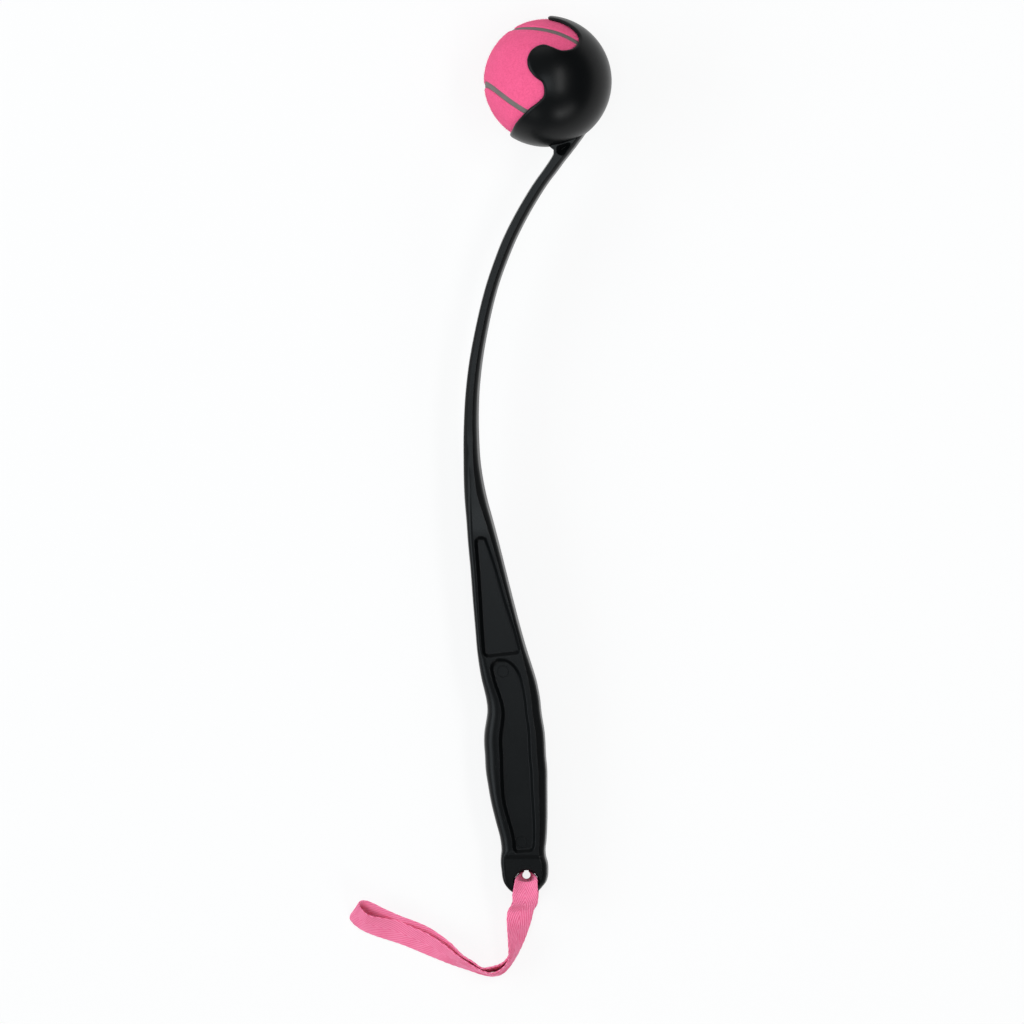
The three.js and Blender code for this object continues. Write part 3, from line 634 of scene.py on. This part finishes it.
def section(at):
    """Section across the arm or handle: rounded on the palm side, bevelled on the finger side."""
    left_edge = at["half"] - at["left_bevel"] * at["drop_share"]
    right_edge = at["half"] - (at["right_bevel"] - at["flare"]) * at["drop_share"]
    upper = [np.array([at["left"], 0])]
    for k in range(PALM_ROUND_STEPS + 1):
        share = k / PALM_ROUND_STEPS
        angle = share * math.pi / 2
        across = share + (1 - math.cos(angle) - share) * at["round_share"]
        up = share + (math.sin(angle) - share) * at["round_share"]
        draft = PARTING_DRAFT * (1 - share)
        x = at["left"] + draft + (at["left_bevel"] - draft) * across
        upper.append(np.array([x, left_edge + (at["half"] - left_edge) * up]))
    upper += filleted(
        [
            (upper[-1][0], upper[-1][1], 0),
            (at["right"] - at["right_bevel"], at["half"], RIDGE_FILLET),
            (at["right"] - at["flare"], right_edge, SIDE_FILLET),
            (at["right"], 0, 0),
        ]
    )[1:]
    lower = [p * [1, -1] for p in upper[-2:0:-1]]
    return np.array([(x, at["y"], z) for x, z in upper + lower + upper[:1]])


def bare_handle():
    """Arm, handle and boss, lofted from close stations, before anything is cut."""
    first, last = OUTLINE_SHARES[0][0], OUTLINE_SHARES[-1][0]
    count = int((last - first) * REACH / HANDLE_PITCH)
    at_boss = np.linspace(BOSS_START_SHARE, last, BOSS_STATIONS)
    downs = np.unique(np.concatenate([np.linspace(first, last, count), at_boss]))
    rings = np.array([section(station(row)) for row in smoothly_along(OUTLINE_SHARES, downs)])
    return laid_grid("moulding", rings, cap_ends=True)


def corner_draw(across, run, away):
    """How far a rounded corner draws a side in, at distances from the end it turns into."""
    share = np.clip(1 - away / max(run, TINY), 0, 1)
    return max(across, 0) * (1 - np.sqrt(1 - share * share))


def panel_outline(shares, palm, finger, end, end_degrees, inset):
    """Outline of a recessed panel from its margins and corners; inset draws it in on all sides."""
    top, bottom = shares[0][0], shares[-1][0]
    length = (bottom - top) * REACH - 2 * inset
    share = (1 - np.cos(np.pi * np.arange(PANEL_STEPS + 1) / PANEL_STEPS)) / 2
    downs = top + (inset + share * length) / REACH
    stations = [station(row) for row in smoothly_along(OUTLINE_SHARES, downs)]
    margins = smoothly_along(shares, downs)[:, 1:] * GRIP_WIDTH + inset
    margins += corner_draw(end - inset, end - inset, (1 - share) * length)[:, None]
    left = np.array([s["left"] for s in stations]) + margins[:, 0]
    left += corner_draw(palm[0] - inset, palm[1] - inset, share * length)
    right = np.array([s["right"] for s in stations]) - margins[:, 1]
    right -= corner_draw(finger[0] - inset, finger[1] - inset, share * length)
    y = np.array([s["y"] for s in stations])
    lean = math.tan(math.radians(end_degrees)) * share * (right - left) / 2
    palm_side = np.column_stack([left, y - lean])
    finger_side = np.column_stack([right, y + lean])
    return np.concatenate([palm_side, finger_side[::-1]])


def front_panel(inset):
    palm = (FRONT_PANEL_PALM_CORNER, FRONT_PANEL_PALM_CORNER)
    finger = (FRONT_PANEL_FINGER_CORNER, FRONT_PANEL_FINGER_CORNER)
    end = FRONT_PANEL_END_CORNER
    return panel_outline(FRONT_PANEL_SHARES, palm, finger, end, FRONT_PANEL_END_DEGREES, inset)


def grip_panel(inset):
    palm = (GRIP_PANEL_PALM_CORNER, GRIP_PANEL_PALM_CORNER)
    finger = (GRIP_PANEL_FINGER_CORNER, GRIP_PANEL_FINGER_RUN)
    end = GRIP_PANEL_END_CORNER
    return panel_outline(GRIP_PANEL_SHARES, palm, finger, end, GRIP_PANEL_END_DEGREES, inset)


def recess_cutter(outline, face, depth, run, fillet, side):
    """Cutter whose walls slope in to a flat floor, with a fillet at the face and at the floor."""
    wall = [(-2 * fillet, -CUT_OVERRUN), (-fillet, -FACE_OVERLAP)]
    wall += [(inset * fillet, drop * fillet) for inset, drop in RECESS_TOP_ROUND]
    wall += [(run + inset * fillet, depth + drop * fillet) for inset, drop in RECESS_FOOT_ROUND]
    rings = []
    for inset, drop in wall:
        line = outline(inset)
        line = np.concatenate([line, line[:1]])
        rings.append(np.column_stack([line, np.full(len(line), side * (face - drop))]))
    return laid_grid("recess_cutter", np.array(rings), merge=CUTTER_MERGE_DISTANCE, cap_ends=True)


def pin_mark(down, across, side):
    """Cutter for the ring that an ejector pin leaves on the floor of the grip's panel."""
    deselect()
    bpy.ops.mesh.primitive_torus_add(
        location=(-ARM_BOW * across, -REACH * down, side * (GRIP_THICKNESS / 2 - PANEL_DEPTH)),
        major_segments=72,
        minor_segments=8,
        major_radius=PIN_MARK_RADIUS,
        minor_radius=PIN_MARK_GROOVE,
    )
    return bpy.context.object


def neck_outline(inset):
    """Outline of the small recess at the neck, its corners rounded."""
    corners = [
        (ARM_BOW * across, -REACH * down, NECK_RECESS_CORNER)
        for down, across in NECK_RECESS_SHARES
    ]
    x, y = (np.array(corners[0][:2]) + corners[-1][:2]) / 2
    start = (x, y, 0)
    line = np.array(filleted([start] + corners + [start]))[:-1]
    return line + unit(line.mean(axis=0) - line) * inset


def strap_hole_cutter():
    """The bore of the strap hole, its two mouths rounded over."""
    half = BOSS_THICKNESS / 2
    mouth = 3 * STRAP_HOLE_LEAD
    flare = [(half + CUT_OVERRUN, mouth)]
    for degrees in range(0, 91, 15):
        sine = math.sin(math.radians(degrees))
        flare.append((half - STRAP_HOLE_LEAD * sine, STRAP_HOLE_LEAD * (1 - sine)))
    profile = flare + [(-z, extra) for z, extra in flare[::-1]]
    angles = 2 * np.pi * np.arange(HOLE_STEPS + 1) / HOLE_STEPS
    rings = []
    for z, extra in profile:
        x = (STRAP_HOLE_RADIUS + extra) * np.cos(angles) - STRAP_HOLE_OFFSET
        y = (STRAP_HOLE_RADIUS + extra) * np.sin(angles) - REACH
        rings.append(np.column_stack([x, y, np.full(len(angles), z)]))
    return laid_grid("hole_cutter", np.array(rings), cap_ends=True)


def moulded_thrower():
    """The one-piece moulding: cup, arm, handle and boss."""
    piece = bare_handle()
    deselect()
    bpy.ops.mesh.primitive_uv_sphere_add(
        segments=BALL_HOLLOW_STEPS,
        ring_count=BALL_HOLLOW_STEPS // 2,
        radius=CUP_INNER_RADIUS + CUP_WALL / 2,
    )
    cut(piece, bpy.context.object)
    panel = (GRIP_THICKNESS / 2, PANEL_DEPTH, PANEL_WALL_RUN, PANEL_FILLET)
    neck = (ARM_THICKNESS / 2, NECK_RECESS_DEPTH, NECK_RECESS_RUN, NECK_RECESS_FILLET)
    for side in (1, -1):
        cut(piece, recess_cutter(front_panel, *panel, side))
        cut(piece, recess_cutter(grip_panel, *panel, side))
        cut(piece, recess_cutter(neck_outline, *neck, side))
        for down, across in PIN_MARK_SHARES:
            cut(piece, pin_mark(down, across, side))
    cut(piece, strap_hole_cutter())
    cut(piece, ball_cup(), "UNION")
    piece.name = "moulded_thrower"
    smooth(piece, degrees=32)
    apply_modifier(piece, "WEIGHTED_NORMAL", keep_sharp=True, weight=80)
    piece.data.transform(thrower_place())
    return piece


def seam_point(turn):
    """Seam line of the ball on the unit sphere."""
    wave = SEAM_WAVE_SHARE
    return np.stack(
        [
            (1 - wave) * np.cos(turn) + wave * np.cos(3 * turn),
            (1 - wave) * np.sin(turn) - wave * np.sin(3 * turn),
            2 * math.sqrt(wave * (1 - wave)) * np.sin(2 * turn),
        ],
        axis=-1,
    )


def beside_seam(turn, distance):
    """Directions to a line that runs beside the seam at a distance over the ball's surface."""
    here = seam_point(turn)
    small_turn = 1e-4
    forward = seam_point(turn + small_turn) - seam_point(turn - small_turn)
    return unit(here + unit(np.cross(here, forward)) * distance / BALL_RADIUS)


def ball_matrix():
    """The ball's turn about its middle."""
    x, y, z = (math.radians(degrees) for degrees in BALL_TURN_DEGREES)
    turn = Matrix.Rotation(z, 4, "Z") @ Matrix.Rotation(y, 4, "Y") @ Matrix.Rotation(x, 4, "X")
    return Matrix.Translation(ball_place()) @ turn


def felt_directions(distance):
    """Unit directions to a dog-bone panel: rows along it, columns across it."""
    reach = math.pi * np.linspace(0, 1, FELT_ROWS + 1)
    rim_a = beside_seam(FELT_START_TURN - reach, distance)[:, None]
    rim_b = beside_seam(FELT_START_TURN + reach, distance)[:, None]
    share = np.linspace(0, 1, FELT_COLUMNS + 1)[None, :, None]
    return between(rim_a, rim_b, share)


def felt_panel(name, turned):
    """A panel of napped felt, its edges rolled down to the seam."""
    edge = SEAM_WIDTH / 2
    rows = felt_directions(edge)
    seam = seam_point(FELT_START_TURN + np.linspace(0, 2 * math.pi, SEAM_MEASURE_STEPS, endpoint=False))
    directions = rows.reshape(-1, 3)
    nearest = np.arccos(np.clip((directions @ seam.T).max(axis=1), -1, 1)) * BALL_RADIUS - edge
    share = np.clip(nearest / FELT_EDGE_RUN, 0, 1)
    drop = FELT_EDGE_DROP * (1 - np.sqrt(1 - (1 - share) ** 2))
    outer = (directions * (BALL_RADIUS - drop)[:, None]).reshape(rows.shape)
    inner = rows[:, ::-1] * (BALL_RADIUS - FELT_THICKNESS + FELT_CORE_GAP)
    piece = laid_grid(name, np.concatenate([outer, inner, outer[:, :1]], axis=1))
    turn = ball_matrix()
    if turned:
        turn = turn @ Matrix.Rotation(math.pi, 4, "X")
    piece.data.transform(turn)
    smooth(piece, degrees=40)
    return piece


def seam_strip():
    """The rubber line between the panels, its top slightly crowned."""
    turns = 2 * np.pi * np.arange(SEAM_STEPS + 1) / SEAM_STEPS
    low = BALL_RADIUS - FELT_THICKNESS
    high = low + SEAM_HEIGHT
    half = SEAM_WIDTH / 2 - SEAM_SIDE_GAP
    rising = [(1, low), (1, high - SEAM_SHOULDER), (0.75, high - SEAM_CROWN), (0.3, high)]
    profile = [(-share, radius) for share, radius in rising] + rising[::-1] + [(-1, low)]
    rows = np.stack([beside_seam(turns, share * half) * radius for share, radius in profile], axis=1)
    piece = laid_grid("seam_line", rows, merge=SEAM_MERGE_DISTANCE)
    piece.data.transform(ball_matrix())
    smooth(piece, degrees=50)
    return piece


def nap(name, panel, seed):
    """Short fibres that stand out of a felt panel, each a slim leaning spike."""
    count = FIBRES_PER_PANEL
    rng = np.random.default_rng(seed)
    middle = np.array(ball_place())
    mesh = panel.data
    centres = np.array([p.center for p in mesh.polygons])
    normals = np.array([p.normal for p in mesh.polygons])
    areas = np.array([p.area for p in mesh.polygons])
    out = unit(centres - middle)
    outside = (normals * out).sum(axis=1) > 0.5
    weights = np.where(outside, areas, 0)
    pick = rng.choice(len(centres), count, p=weights / weights.sum())
    spread = np.sqrt(areas[pick])[:, None] * rng.uniform(-FIBRE_SPREAD, FIBRE_SPREAD, (count, 3))
    normal = unit(normals[pick])
    base = centres[pick] + spread - normal * (spread * normal).sum(axis=1, keepdims=True)
    lean = unit(np.cross(normal, rng.normal(size=(count, 3))))
    length = rng.uniform(*FIBRE_LENGTHS, (count, 1))
    tilt = np.radians(rng.uniform(*FIBRE_LEAN_DEGREES, (count, 1)))
    tip = base + (normal * np.cos(tilt) + lean * np.sin(tilt)) * length
    side = np.cross(normal, lean)
    root = base - normal * FIBRE_ROOT
    feet = [
        root + (lean * math.cos(turn) + side * math.sin(turn)) * FIBRE_RADIUS
        for turn in FIBRE_FOOT_TURNS
    ]
    places = np.stack([*feet, tip], axis=1).reshape(-1, 3)
    faces = []
    for i in range(count):
        a, b, c, t = range(4 * i, 4 * i + 4)
        faces += [(a, c, b), (a, b, t), (b, c, t), (c, a, t)]
    mesh = bpy.data.meshes.new(name)
    mesh.from_pydata(places.tolist(), [], faces)
    piece = bpy.data.objects.new(name, mesh)
    bpy.context.scene.collection.objects.link(piece)
    return piece


def strap_stations():
    """Chord middle, direction across, and curl of the tape at each place along its loop."""
    place = thrower_place()
    middle = place @ Vector((-STRAP_HOLE_OFFSET, -REACH, 0))
    rest = TAPE_THICKNESS / 2
    stations = []
    for raised_x, raised_y, low_x, low_y, low_height in STRAP_EDGE_SHARES:
        raised = Vector((raised_x, raised_y, 0)) * STRAP_LOOP_LENGTH
        low = Vector((low_x, low_y, low_height)) * STRAP_LOOP_LENGTH
        run = min(math.hypot(raised.x - low.x, raised.y - low.y), TAPE_WIDTH)
        raised.z = low.z + math.sqrt(TAPE_WIDTH**2 - run**2)
        chord = (raised + low) / 2 + Vector((middle.x, middle.y, rest))
        stations.append((chord, (low - raised).normalized(), EDGE_CURL_DEGREES))
    radius = STRAP_HOLE_RADIUS
    for x, y, height, curl in UNDER_BOSS:
        chord = Vector((middle.x + x * radius, middle.y + y * radius, rest + height * TAPE_THICKNESS))
        stations.append((chord, Vector((1, 0, 0)), curl))
    in_hole = [(x, y, height * BOSS_THICKNESS / 2, curl) for x, y, height, curl in IN_HOLE]
    for x, y, lift, curl in OVER_LIP:
        in_hole.append((x, y, BOSS_THICKNESS / 2 + lift * TAPE_THICKNESS, curl))
    for x, y, height, curl in in_hole:
        local = Vector((x * radius - STRAP_HOLE_OFFSET, y * radius - REACH, height))
        stations.append((place @ local, Vector((1, 0, 0)), curl))
    return stations


def lay_weave(piece, ribs):
    """Makes the tape's UV run from edge to edge over each face, and once per rib along the loop."""
    layer = piece.data.uv_layers[0].data
    places = np.zeros(len(layer) * 2)
    layer.foreach_get("uv", places)
    places = places.reshape(-1, 2)
    column = places[:, 0] * 2 * (TAPE_COLUMNS + 1)
    underside = 1 - np.clip((column - TAPE_COLUMNS - 1) / TAPE_COLUMNS, 0, 1)
    places[:, 0] = np.where(column <= TAPE_COLUMNS, column / TAPE_COLUMNS, underside)
    places[:, 1] *= ribs
    layer.foreach_set("uv", places.reshape(-1))


def wrist_tape():
    """The woven tape: a closed loop along its edge route, ribbed in a herringbone on both faces."""
    stations = strap_stations()
    chords = round_curve([list(s[0]) for s in stations], TAPE_STEPS)
    acrosses = unit(round_curve([list(s[1]) for s in stations], TAPE_STEPS, power=0))
    curls = round_curve([[s[2], 0, 0] for s in stations], TAPE_STEPS, power=0)[:, 0]
    curls = np.radians(np.maximum(curls, LEAST_CURL_DEGREES))
    forward = unit(np.roll(chords, -1, axis=0) - np.roll(chords, 1, axis=0))
    ups = unit(np.cross(forward, acrosses))
    steps = np.linalg.norm(np.roll(chords, -1, axis=0) - chords, axis=1)
    length = steps.sum()
    run = np.concatenate([[0], np.cumsum(steps)[:-1]])
    ribs = round(length / RIB_PITCH)
    shares = np.linspace(-1, 1, TAPE_COLUMNS + 1)
    rings = []
    for i in range(TAPE_STEPS + 1):
        k = i % TAPE_STEPS
        radius = TAPE_WIDTH / (2 * curls[k])
        phase = run[k] / length * ribs
        ring = []
        for side, line in ((1, shares), (-1, shares[::-1])):
            for share in line:
                edge = min(1, (1 - abs(share)) * TAPE_WIDTH / TAPE_THICKNESS)
                half = TAPE_THICKNESS / 2 * math.sqrt(max(1 - (1 - edge) ** 2, THINNEST_EDGE))
                rib = 2 * math.pi * (phase - abs(share) * TAPE_WIDTH / 2 / RIB_PITCH_ACROSS)
                half += RIB_HEIGHT * (0.5 + 0.5 * math.cos(rib)) * edge - RIB_HEIGHT / 2
                angle = curls[k] * share * (1 + RIB_SWAY * math.cos(rib))
                reach = radius - side * half
                across = acrosses[k] * reach * math.sin(angle)
                up = ups[k] * (radius * math.cos(curls[k]) - reach * math.cos(angle))
                ring.append(chords[k] + across + up)
        rings.append(ring + ring[:1])
    piece = laid_grid("wrist_tape", np.array(rings), merge=TAPE_MERGE_DISTANCE)
    lay_weave(piece, ribs)
    smooth(piece, degrees=60)
    return piece, length


# Materials


def new_material(name):
    material = bpy.data.materials.new(name)
    material.use_nodes = True
    tree = material.node_tree
    return material, tree, tree.nodes["Principled BSDF"]


def feed(tree, node, inputs):
    """Gives the inputs of a node their values, or links them to the outputs of other nodes."""
    for name, value in inputs.items():
        if isinstance(value, bpy.types.NodeSocket):
            tree.links.new(value, node.inputs[name])
        else:
            node.inputs[name].default_value = value


def add(tree, kind, inputs=None, **settings):
    """Adds a node, with its settings and the values or links of its inputs."""
    made = tree.nodes.new(kind)
    for name, value in settings.items():
        setattr(made, name, value)
    feed(tree, made, inputs or {})
    return made


def worked_out(tree, operation, *values):
    """The result of a sum with numbers and the outputs of other nodes."""
    return add(tree, "ShaderNodeMath", dict(enumerate(values)), operation=operation).outputs[0]


def waves(tree, value, count):
    """A cosine that makes a number of waves while a value goes from 0 to 1."""
    return worked_out(tree, "COSINE", worked_out(tree, "MULTIPLY", value, 2 * math.pi * count))


def ranged(tree, value, low, high, start=0.3, end=0.7):
    """Turns values from start to end into values from low to high."""
    limits = {"From Min": start, "From Max": end, "To Min": low, "To Max": high}
    return add(tree, "ShaderNodeMapRange", {"Value": value, **limits}).outputs[0]


def blended(tree, share, *colours):
    """A share of the way between two colours, each three numbers or the output of a node."""
    first, second = (c if isinstance(c, bpy.types.NodeSocket) else (*c, 1) for c in colours)
    return add(tree, "ShaderNodeMix", {0: share, 6: first, 7: second}, data_type="RGBA").outputs[2]


def bumped(tree, height, distance, strength):
    """Directions of a surface that a height roughens."""
    inputs = {"Height": height, "Distance": distance, "Strength": strength}
    return add(tree, "ShaderNodeBump", inputs).outputs[0]


def mottle_group():
    """Two sizes of noise mixed, from 0 to 1: the unevenness of a moulded or fibrous surface."""
    tree = bpy.data.node_groups.new("mottle", "ShaderNodeTree")
    for name in ("Coarse", "Fine", "Fine share"):
        tree.interface.new_socket(name=name, in_out="INPUT", socket_type="NodeSocketFloat")
    tree.interface.new_socket(name="Value", in_out="OUTPUT", socket_type="NodeSocketFloat")
    entry = add(tree, "NodeGroupInput").outputs
    place = add(tree, "ShaderNodeTexCoord").outputs["Object"]
    coarse = add(tree, "ShaderNodeTexNoise", {"Vector": place, "Scale": entry["Coarse"], "Detail": 3})
    fine = add(tree, "ShaderNodeTexNoise", {"Vector": place, "Scale": entry["Fine"], "Detail": 2})
    mixed = add(tree, "ShaderNodeMix", {0: entry["Fine share"], 2: coarse.outputs[0], 3: fine.outputs[0]})
    add(tree, "NodeGroupOutput", {"Value": mixed.outputs[0]})
    return tree


def mottled(tree, mottle, coarse, fine, fine_share):
    """The mottle's value at a coarse and a fine scale, mixed with a share of the fine one."""
    inputs = {"Coarse": coarse, "Fine": fine, "Fine share": fine_share}
    return add(tree, "ShaderNodeGroup", inputs, node_tree=mottle).outputs["Value"]


def plastic_material(mottle):
    """Satin black moulded plastic, a little uneven in gloss, with a few specks of dust."""
    material, tree, shader = new_material("satin_black_plastic")
    uneven = mottled(tree, mottle, coarse=35, fine=1800, fine_share=0.35)
    place = add(tree, "ShaderNodeTexCoord").outputs["Object"]
    specks = add(tree, "ShaderNodeTexVoronoi", {"Vector": place, "Scale": DUST_CELLS_PER_METRE})
    dust = ranged(tree, specks.outputs["Distance"], 0, DUST_COVER, *DUST_FADE)
    base = blended(tree, uneven, *PLASTIC_COLOURS)
    inputs = {
        "Base Color": blended(tree, dust, base, DUST_COLOUR),
        "Roughness": ranged(tree, uneven, 0.27, 0.36),
        "Normal": bumped(tree, uneven, PLASTIC_GRAIN, 0.25),
        "IOR": 1.49,
        "Specular IOR Level": 0.14,
    }
    feed(tree, shader, inputs)
    return material


def felt_material(mottle):
    """Pink napped felt: matted fibres, a little uneven in tone, with painted shade darkening the hollows
    between the tufts.
    """
    material, tree, shader = new_material("pink_felt")
    tufts = mottled(tree, mottle, coarse=900, fine=3000, fine_share=0.55)
    inputs = {
        # Colour: the felt's uneven tone, plus painted shade that darkens it where the tufts' bump is low
        "Base Color": blended(tree, ranged(tree, tufts, 0, 1), *FELT_TONE_AND_HOLLOW_SHADE_COLOURS),
        "Roughness": ranged(tree, tufts, 0.98, 0.85),
        "Normal": bumped(tree, tufts, FELT_GRAIN, 0.7),
        "Specular IOR Level": 0.15,
        "Sheen Weight": 0.06,
        "Sheen Tint": FELT_SHEEN_COLOUR,
    }
    feed(tree, shader, inputs)
    return material


def rubber_material(mottle, name, colours):
    """Dull moulded rubber, a little uneven."""
    material, tree, shader = new_material(name)
    uneven = mottled(tree, mottle, coarse=260, fine=2200, fine_share=0.5)
    inputs = {
        "Base Color": blended(tree, ranged(tree, uneven, 0, 1), *colours),
        "Roughness": ranged(tree, uneven, 0.6, 0.85),
        "Normal": bumped(tree, uneven, RUBBER_GRAIN, 0.5),
    }
    feed(tree, shader, inputs)
    return material


def tape_material(mottle):
    """Pink cotton tape: ribs of twill that meet at a spine, each rib made of short stitches, with painted shade
    in the grooves.
    """
    material, tree, shader = new_material("pink_herringbone_tape")
    uv = add(tree, "ShaderNodeUVMap", uv_map="UVMap").outputs[0]
    parts = add(tree, "ShaderNodeSeparateXYZ", {"Vector": uv}).outputs
    off_spine = worked_out(tree, "ABSOLUTE", worked_out(tree, "SUBTRACT", parts["X"], 0.5))
    slant = worked_out(tree, "MULTIPLY", off_spine, TAPE_WIDTH / RIB_PITCH_ACROSS)
    ribs = waves(tree, worked_out(tree, "SUBTRACT", parts["Y"], slant), 1)
    ridge = ranged(tree, ribs, 0, 1, start=-1, end=1)
    rows = waves(tree, parts["X"], TAPE_WIDTH / STITCH_WIDTH)
    stitches = worked_out(tree, "MULTIPLY", rows, waves(tree, parts["Y"], RIB_PITCH / STITCH_LENGTH))
    height = worked_out(tree, "MULTIPLY_ADD", stitches, STITCH_SHARE, ridge)
    fibres = mottled(tree, mottle, coarse=700, fine=4000, fine_share=0.5)
    rough_height = worked_out(tree, "MULTIPLY_ADD", fibres, FIBRE_SHARE, height)
    # Painted shade: the colour darkens in the grooves between ribs and stitches and lightens on their crowns,
    # plus the fibres' uneven tone
    painted_groove_shade_and_fibre_tone = ranged(tree, rough_height, 0, 1, start=0.1, end=1.2)
    inputs = {
        "Base Color": blended(tree, painted_groove_shade_and_fibre_tone, *TAPE_GROOVE_SHADE_TO_CROWN_COLOURS),
        "Roughness": ranged(tree, fibres, 0.95, 0.8),
        "Normal": bumped(tree, rough_height, TAPE_GRAIN, 0.8),
        "Specular IOR Level": 0.2,
        "Sheen Weight": 0.1,
    }
    feed(tree, shader, inputs)
    return material


def dress(piece, material, body):
    piece.data.materials.clear()
    piece.data.materials.append(material)
    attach(piece, body)


# Stage, light and camera


def set_stage():
    """A plain white floor under the part."""
    deselect()
    bpy.ops.mesh.primitive_plane_add(size=FLOOR_SIZE, location=(0, 0, 0))
    floor = bpy.context.object
    floor.name = "floor"
    material, tree, shader = new_material("white_floor")
    feed(tree, shader, {"Base Color": FLOOR_COLOUR, "Roughness": 0.9, "Specular IOR Level": 0})
    ray = add(tree, "ShaderNodeLightPath").outputs
    seen = worked_out(tree, "MAXIMUM", ray["Is Camera Ray"], ray["Is Glossy Ray"])
    seen = worked_out(tree, "MAXIMUM", seen, ray["Is Transmission Ray"])
    share = worked_out(tree, "MULTIPLY", seen, FLOOR_WHITE_SHARE)
    white = add(tree, "ShaderNodeEmission", {"Color": (1, 1, 1, 1), "Strength": 1})
    mixed = add(tree, "ShaderNodeMixShader", {0: share, 1: shader.outputs[0], 2: white.outputs[0]})
    feed(tree, tree.nodes["Material Output"], {"Surface": mixed.outputs[0]})
    floor.data.materials.append(material)


def softbox(name, place, aim, size, power, tint=(1, 1, 1)):
    """A rectangular lamp at a place, turned to face a point."""
    deselect()
    bpy.ops.object.light_add(type="AREA", location=place)
    lamp = bpy.context.object
    lamp.name = name
    lamp.data.shape = "RECTANGLE"
    lamp.data.size, lamp.data.size_y = size
    lamp.data.energy = power
    lamp.data.color = tint
    lamp.rotation_euler = (Vector(aim) - Vector(place)).to_track_quat("-Z", "Y").to_euler()


def set_light():
    """A sky dimmer on the right, strips for the moulding's long highlights, and soft lamps all round."""
    world = bpy.data.worlds.new("studio")
    bpy.context.scene.world = world
    world.use_nodes = True
    tree = world.node_tree
    place = add(tree, "ShaderNodeTexCoord").outputs["Generated"]
    side = add(tree, "ShaderNodeSeparateXYZ", {"Vector": place}).outputs["X"]
    sky = ranged(tree, side, *SKY_STRENGTHS, start=-0.3, end=0.4)
    feed(tree, tree.nodes["Background"], {"Strength": sky, "Color": SKY_COLOUR})
    middle = (0, 0, 0)
    softbox("upper_strip", (0.6, 0.24, 1.3), aim=(0.03, 0.24, 0), size=(1.0, 0.24), power=6)
    softbox("lower_strip", (0.9, -1.9, 1.1), aim=middle, size=(0.32, 0.42), power=6)
    softbox("strap_lamp", (1.3, -1.5, 0.9), aim=(0, -0.24, 0), size=(0.7, 0.5), power=5)
    softbox("top_lamp", (0, 0.1, 1.15), aim=(0, 0.1, 0), size=(0.4, 0.5), power=2.6, tint=COOL_TINT)
    softbox("left_lamp", (-1.75, 0.05, 1.05), aim=middle, size=(2, 1), power=24, tint=COOL_TINT)
    softbox("fill_lamp", (-0.9, -2.1, 1.3), aim=middle, size=(0.8, 0.8), power=3)
    softbox("back_lamp", (-0.3, 2.3, 1.1), aim=middle, size=(1.6, 0.8), power=7.5)


def set_camera():
    """Straight above the part, far off, framed as the photograph is."""
    cup = ball_place()
    x = cup.x + (IMAGE_PIXELS / 2 - CUP_PIXEL[0]) * PIXEL
    y = cup.y + (CUP_PIXEL[1] - IMAGE_PIXELS / 2) * PIXEL
    bpy.ops.object.camera_add(location=(x, y, FRAMED_HEIGHT + CAMERA_DISTANCE), rotation=(0, 0, 0))
    camera = bpy.context.object
    camera.data.sensor_width = SENSOR_WIDTH
    camera.data.lens = SENSOR_WIDTH * CAMERA_DISTANCE / (IMAGE_PIXELS * PIXEL)
    camera.data.clip_end = CAMERA_SIGHT
    bpy.context.scene.camera = camera


def build():
    set_camera()
    mottle = mottle_group()
    plastic = plastic_material(mottle)
    felt = felt_material(mottle)
    seam_rubber = rubber_material(mottle, "grey_seam_rubber", SEAM_COLOURS)
    core_rubber = rubber_material(mottle, "dark_core_rubber", CORE_COLOURS)

    tape, length = wrist_tape()
    dress(tape, tape_material(mottle), "thrower")
    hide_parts("wrist_strap")

    thrower = moulded_thrower()
    dress(thrower, plastic, "thrower")
    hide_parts("thrower_moulding")

    for letter, turned in (("a", False), ("b", True)):
        panel = felt_panel("felt_panel_" + letter, turned)
        dress(panel, felt, "ball")
        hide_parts("ball_felt_" + letter)
        fibres = nap("felt_nap_" + letter, panel, FIBRE_SEED + turned)
        dress(fibres, felt, "ball")
    seam = seam_strip()
    dress(seam, seam_rubber, "ball")
    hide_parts("ball_seam")
    for node in ("ball_core_half_a", "ball_core_half_b"):
        core = frame["nodes"][node]
        core.data.materials.clear()
        core.data.materials.append(core_rubber)

    set_stage()
    set_light()
    bpy.context.scene.view_settings.view_transform = "Standard"


build()
